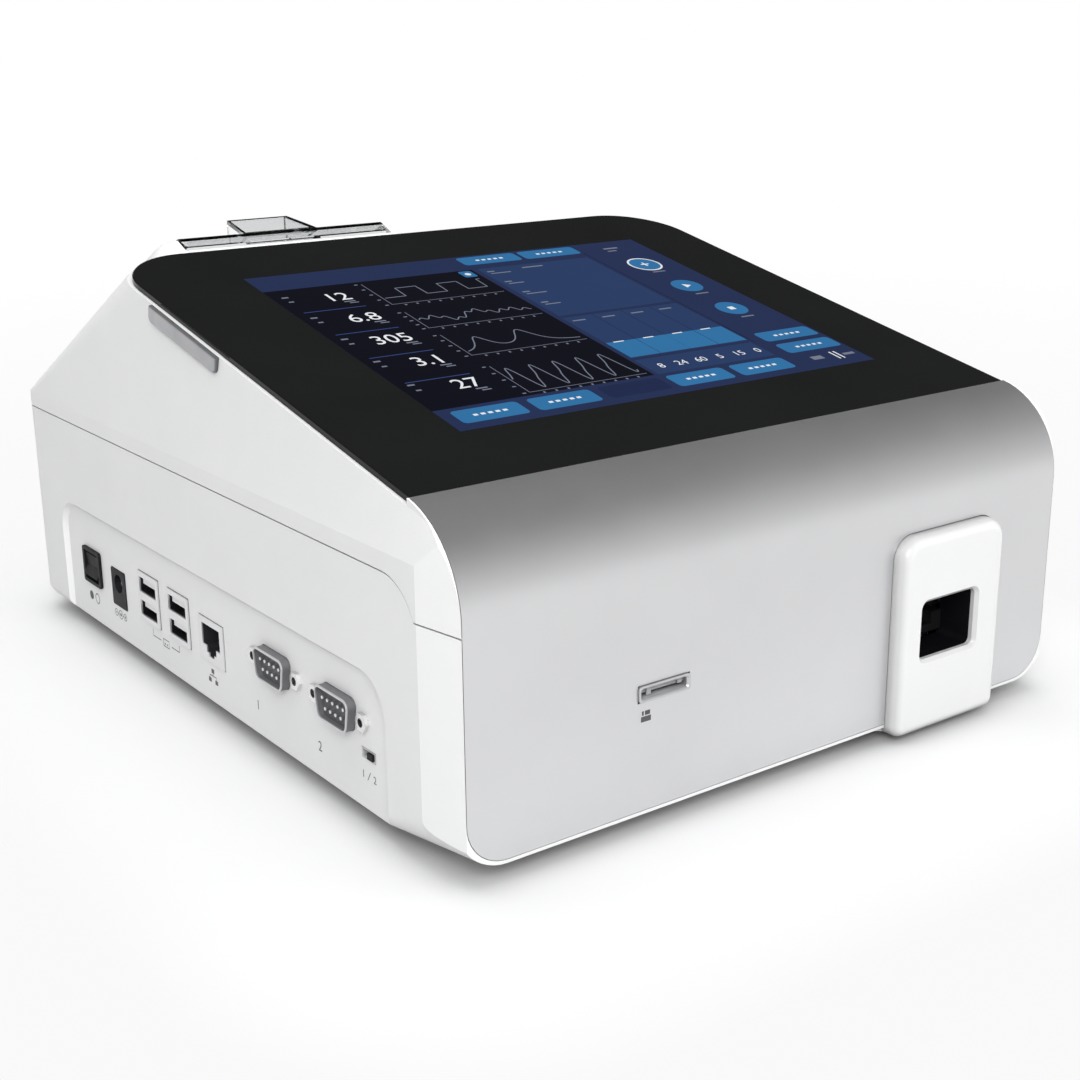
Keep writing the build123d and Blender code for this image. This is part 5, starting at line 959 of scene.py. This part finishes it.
def build_slot_guide():
    """A back plate over a thin mouth, a sloping sill and two guide ribs."""
    low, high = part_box("card_slot_frame")
    left, right = low.x + SLOT_RIM, high.x - SLOT_RIM
    floor, roof = low.z + SLOT_RIM, high.z - SLOT_RIM
    near = low.y + GUIDE_INSET
    back = near + SILL_DEPTH
    far = back + PLATE_THICK
    mouth_low = floor + SILL_RISE
    mouth_high = mouth_low + MOUTH_TALL
    proud = back - RIB_PROUD

    shape = bmesh.new()
    plate = [(back, roof), (far, roof), (far, mouth_high), (back, mouth_high)]
    sill = [(near, floor), (back, mouth_low), (far, mouth_low), (far, floor)]
    add_prism(shape, plate, left, right)
    add_prism(shape, sill, left, right)
    for share, foot in ((LONG_RIB_SHARE, mouth_low), (SHORT_RIB_SHARE, mouth_high)):
        middle = left + share * (right - left)
        rib = [(proud, roof), (back, roof), (back, foot), (proud, foot)]
        add_prism(shape, rib, middle - RIB_WIDE / 2, middle + RIB_WIDE / 2)
    bmesh.ops.recalc_face_normals(shape, faces=shape.faces)
    mesh = bpy.data.meshes.new("card_slot_guide")
    shape.to_mesh(mesh)
    shape.free()

    piece = bpy.data.objects.new("card_slot_guide", mesh)
    bpy.context.scene.collection.objects.link(piece)
    mesh.materials.append(surface(
        "slot_cheeks", (0.3, 0.302, 0.31), (0.38, 0.382, 0.39), rough=(0.32, 0.42),
        grain=2600, depth=0.01 * MM, patch=150.0, shade=(2 * MM, 0.35),
    ))
    edge = piece.modifiers.new("edge", "BEVEL")
    edge.width = GUIDE_EDGE
    edge.segments = 2
    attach(piece, "casing")


build_screen()
build_marks()
build_slot_guide()


# Studio

FLOOR_REACH = 4.0
FLOOR_FOOTPRINT = (0.108, 0.136, 0)
FLOOR_FADE = 0.08
FLOOR_SEEN = (0.79, 0.79, 0.795)
FLOOR_BOUNCE = (0.45, 0.45, 0.45)
CONTACT_SHADE = (12 * MM, 0.55)

AMBIENT_COLOUR = (0.97, 0.985, 1, 1)
AMBIENT_LEVEL = 0.32
SKY_TOP = 0.03
# Heights of the view direction between which the reflected sky darkens
SKY_AHEAD = (-0.28, 0.76)
SKY_BEHIND = (0.02, 0.3)
SKY_TURN = (-0.05, 0.3)

# Name, place, aim, side in metres, watts, seen in gloss
LAMPS = (
    ("key", (-0.98, -1.28, 1.0), (0, 0, 0.06), 1.1, 28.5, True),
    ("fill", (1.3, -0.9, 0.5), (0, 0, 0.06), 1.2, 13.0, False),
    ("top", (-0.1, 0.25, 1.5), (0, 0, 0.05), 1.3, 14.0, False),
)

CAMERA_PLACE = (-0.30285, -0.4331, 0.1998)
CAMERA_YAW = radians(36.22)
CAMERA_PITCH = radians(-17.18)
CAMERA_ROLL = radians(-0.58)
HALF_FRAME = 540
FOCAL_LENGTH = 1645.1


def past_footprint(tree):
    """Distance of a floor point from the machine's footprint."""
    where = tree.nodes.new("ShaderNodeTexCoord")
    beyond = where.outputs["Object"]
    for operation, value in (
        ("ABSOLUTE", None), ("SUBTRACT", FLOOR_FOOTPRINT), ("MAXIMUM", (0, 0, 0))
    ):
        node = tree.nodes.new("ShaderNodeVectorMath")
        node.operation = operation
        tree.links.new(beyond, node.inputs[0])
        if value:
            node.inputs[1].default_value = value
        beyond = node.outputs["Vector"]
    length = tree.nodes.new("ShaderNodeVectorMath")
    length.operation = "LENGTH"
    tree.links.new(beyond, length.inputs[0])
    return length.outputs["Value"]


def floor_material(name):
    """Pale floor with the machine's shadow near it, fading into the white ground."""
    mat = bpy.data.materials.new(name)
    tree, out = new_tree(mat, "ShaderNodeOutputMaterial")
    path = tree.nodes.new("ShaderNodeLightPath")
    diffuse = tree.nodes.new("ShaderNodeBsdfDiffuse")
    glow = tree.nodes.new("ShaderNodeEmission")
    mix = tree.nodes.new("ShaderNodeMixShader")

    away = past_footprint(tree)
    seen = path.outputs["Is Camera Ray"]
    for ray in ("Is Glossy Ray", "Is Transmission Ray"):
        seen = calculate(tree, "MAXIMUM", seen, path.outputs[ray])
    fade = calculate(
        tree, "MULTIPLY", spread(tree, away, 0, 1, start=0.0, end=FLOOR_FADE), seen
    )

    ground = blend_colours(tree, seen, FLOOR_BOUNCE, FLOOR_SEEN)
    tree.links.new(shade_gaps(tree, ground, *CONTACT_SHADE), diffuse.inputs["Color"])
    whiter = spread(tree, away, 0.95, 1.0, start=0.1, end=0.8)
    tree.links.new(whiter, glow.inputs["Strength"])
    tree.links.new(fade, mix.inputs["Fac"])
    tree.links.new(diffuse.outputs["BSDF"], mix.inputs[1])
    tree.links.new(glow.outputs["Emission"], mix.inputs[2])
    tree.links.new(mix.outputs["Shader"], out.inputs["Surface"])
    return mat


def build_floor():
    """One wide pale plane under the feet."""
    mesh = bpy.data.meshes.new("floor")
    corners = ((-1, -1), (1, -1), (1, 1), (-1, 1))
    points = [(x * FLOOR_REACH, y * FLOOR_REACH, 0) for x, y in corners]
    mesh.from_pydata(points, [], [(0, 1, 2, 3)])
    floor = bpy.data.objects.new("floor", mesh)
    bpy.context.scene.collection.objects.link(floor)
    mesh.materials.append(floor_material("studio_floor"))


def background(tree, colour, strength=None):
    """Background shader of one colour; its strength stays open where none is given."""
    node = tree.nodes.new("ShaderNodeBackground")
    node.inputs["Color"].default_value = colour
    if strength is not None:
        node.inputs["Strength"].default_value = strength
    return node


def mix_backgrounds(tree, factor, first, second):
    """Shader between two others by the factor."""
    node = tree.nodes.new("ShaderNodeMixShader")
    tree.links.new(factor, node.inputs["Fac"])
    tree.links.new(first, node.inputs[1])
    tree.links.new(second, node.inputs[2])
    return node.outputs["Shader"]


def build_world():
    """White to the camera; in reflections white near the horizon and grey higher up."""
    world = bpy.data.worlds.new("studio")
    bpy.context.scene.world = world
    tree, out = new_tree(world, "ShaderNodeOutputWorld")
    path = tree.nodes.new("ShaderNodeLightPath")
    where = tree.nodes.new("ShaderNodeTexCoord")
    split = tree.nodes.new("ShaderNodeSeparateXYZ")
    tree.links.new(where.outputs["Generated"], split.inputs["Vector"])
    rise = split.outputs["Z"]
    turn = tree.nodes.new("ShaderNodeMix")
    tree.links.new(spread(tree, split.outputs["Y"], 0, 1, *SKY_TURN), turn.inputs["Factor"])
    tree.links.new(spread(tree, rise, 1.0, SKY_TOP, *SKY_AHEAD), turn.inputs["A"])
    tree.links.new(spread(tree, rise, 1.0, SKY_TOP, *SKY_BEHIND), turn.inputs["B"])

    reflected = background(tree, (1, 1, 1, 1))
    tree.links.new(turn.outputs["Result"], reflected.inputs["Strength"])
    ambient = background(tree, AMBIENT_COLOUR, AMBIENT_LEVEL)
    white = background(tree, (1, 1, 1, 1), 1.0)
    seen = calculate(
        tree, "MAXIMUM", path.outputs["Is Camera Ray"], path.outputs["Is Transmission Ray"]
    )
    lit = mix_backgrounds(
        tree, path.outputs["Is Glossy Ray"], ambient.outputs["Background"],
        reflected.outputs["Background"],
    )
    shown = mix_backgrounds(tree, seen, lit, white.outputs["Background"])
    tree.links.new(shown, out.inputs["Surface"])


def soft_light(name, place_at, aim, side, power, in_gloss):
    """Square area lamp that the camera doesn't see."""
    data = bpy.data.lights.new(name, "AREA")
    data.shape = "SQUARE"
    data.size = side
    data.energy = power
    lamp = bpy.data.objects.new(name, data)
    bpy.context.scene.collection.objects.link(lamp)
    lamp.location = place_at
    lamp.rotation_euler = (Vector(aim) - Vector(place_at)).to_track_quat("-Z", "Y").to_euler()
    lamp.visible_glossy = in_gloss
    lamp.visible_camera = False


def build_camera():
    """Camera of the photograph: its place, turn and lens were found from the machine's edges."""
    yaw, pitch, roll = CAMERA_YAW, CAMERA_PITCH, CAMERA_ROLL
    ahead = Vector((sin(yaw) * cos(pitch), cos(yaw) * cos(pitch), sin(pitch)))
    across = Vector((cos(yaw), -sin(yaw), 0))
    above = across.cross(ahead)
    right = across * cos(roll) + above * sin(roll)
    up = above * cos(roll) - across * sin(roll)
    data = bpy.data.cameras.new("photo_view")
    data.sensor_fit = "HORIZONTAL"
    data.sensor_width = 36.0
    data.angle = 2 * atan(HALF_FRAME / FOCAL_LENGTH)
    data.clip_start = 0.01
    camera = bpy.data.objects.new("photo_view", data)
    bpy.context.scene.collection.objects.link(camera)
    turn = Matrix((right, up, -ahead)).transposed().to_4x4()
    camera.matrix_world = Matrix.Translation(Vector(CAMERA_PLACE)) @ turn
    bpy.context.scene.camera = camera


build_floor()
build_world()
for lamp in LAMPS:
    soft_light(*lamp)
build_camera()
bpy.context.scene.view_settings.view_transform = "Standard"
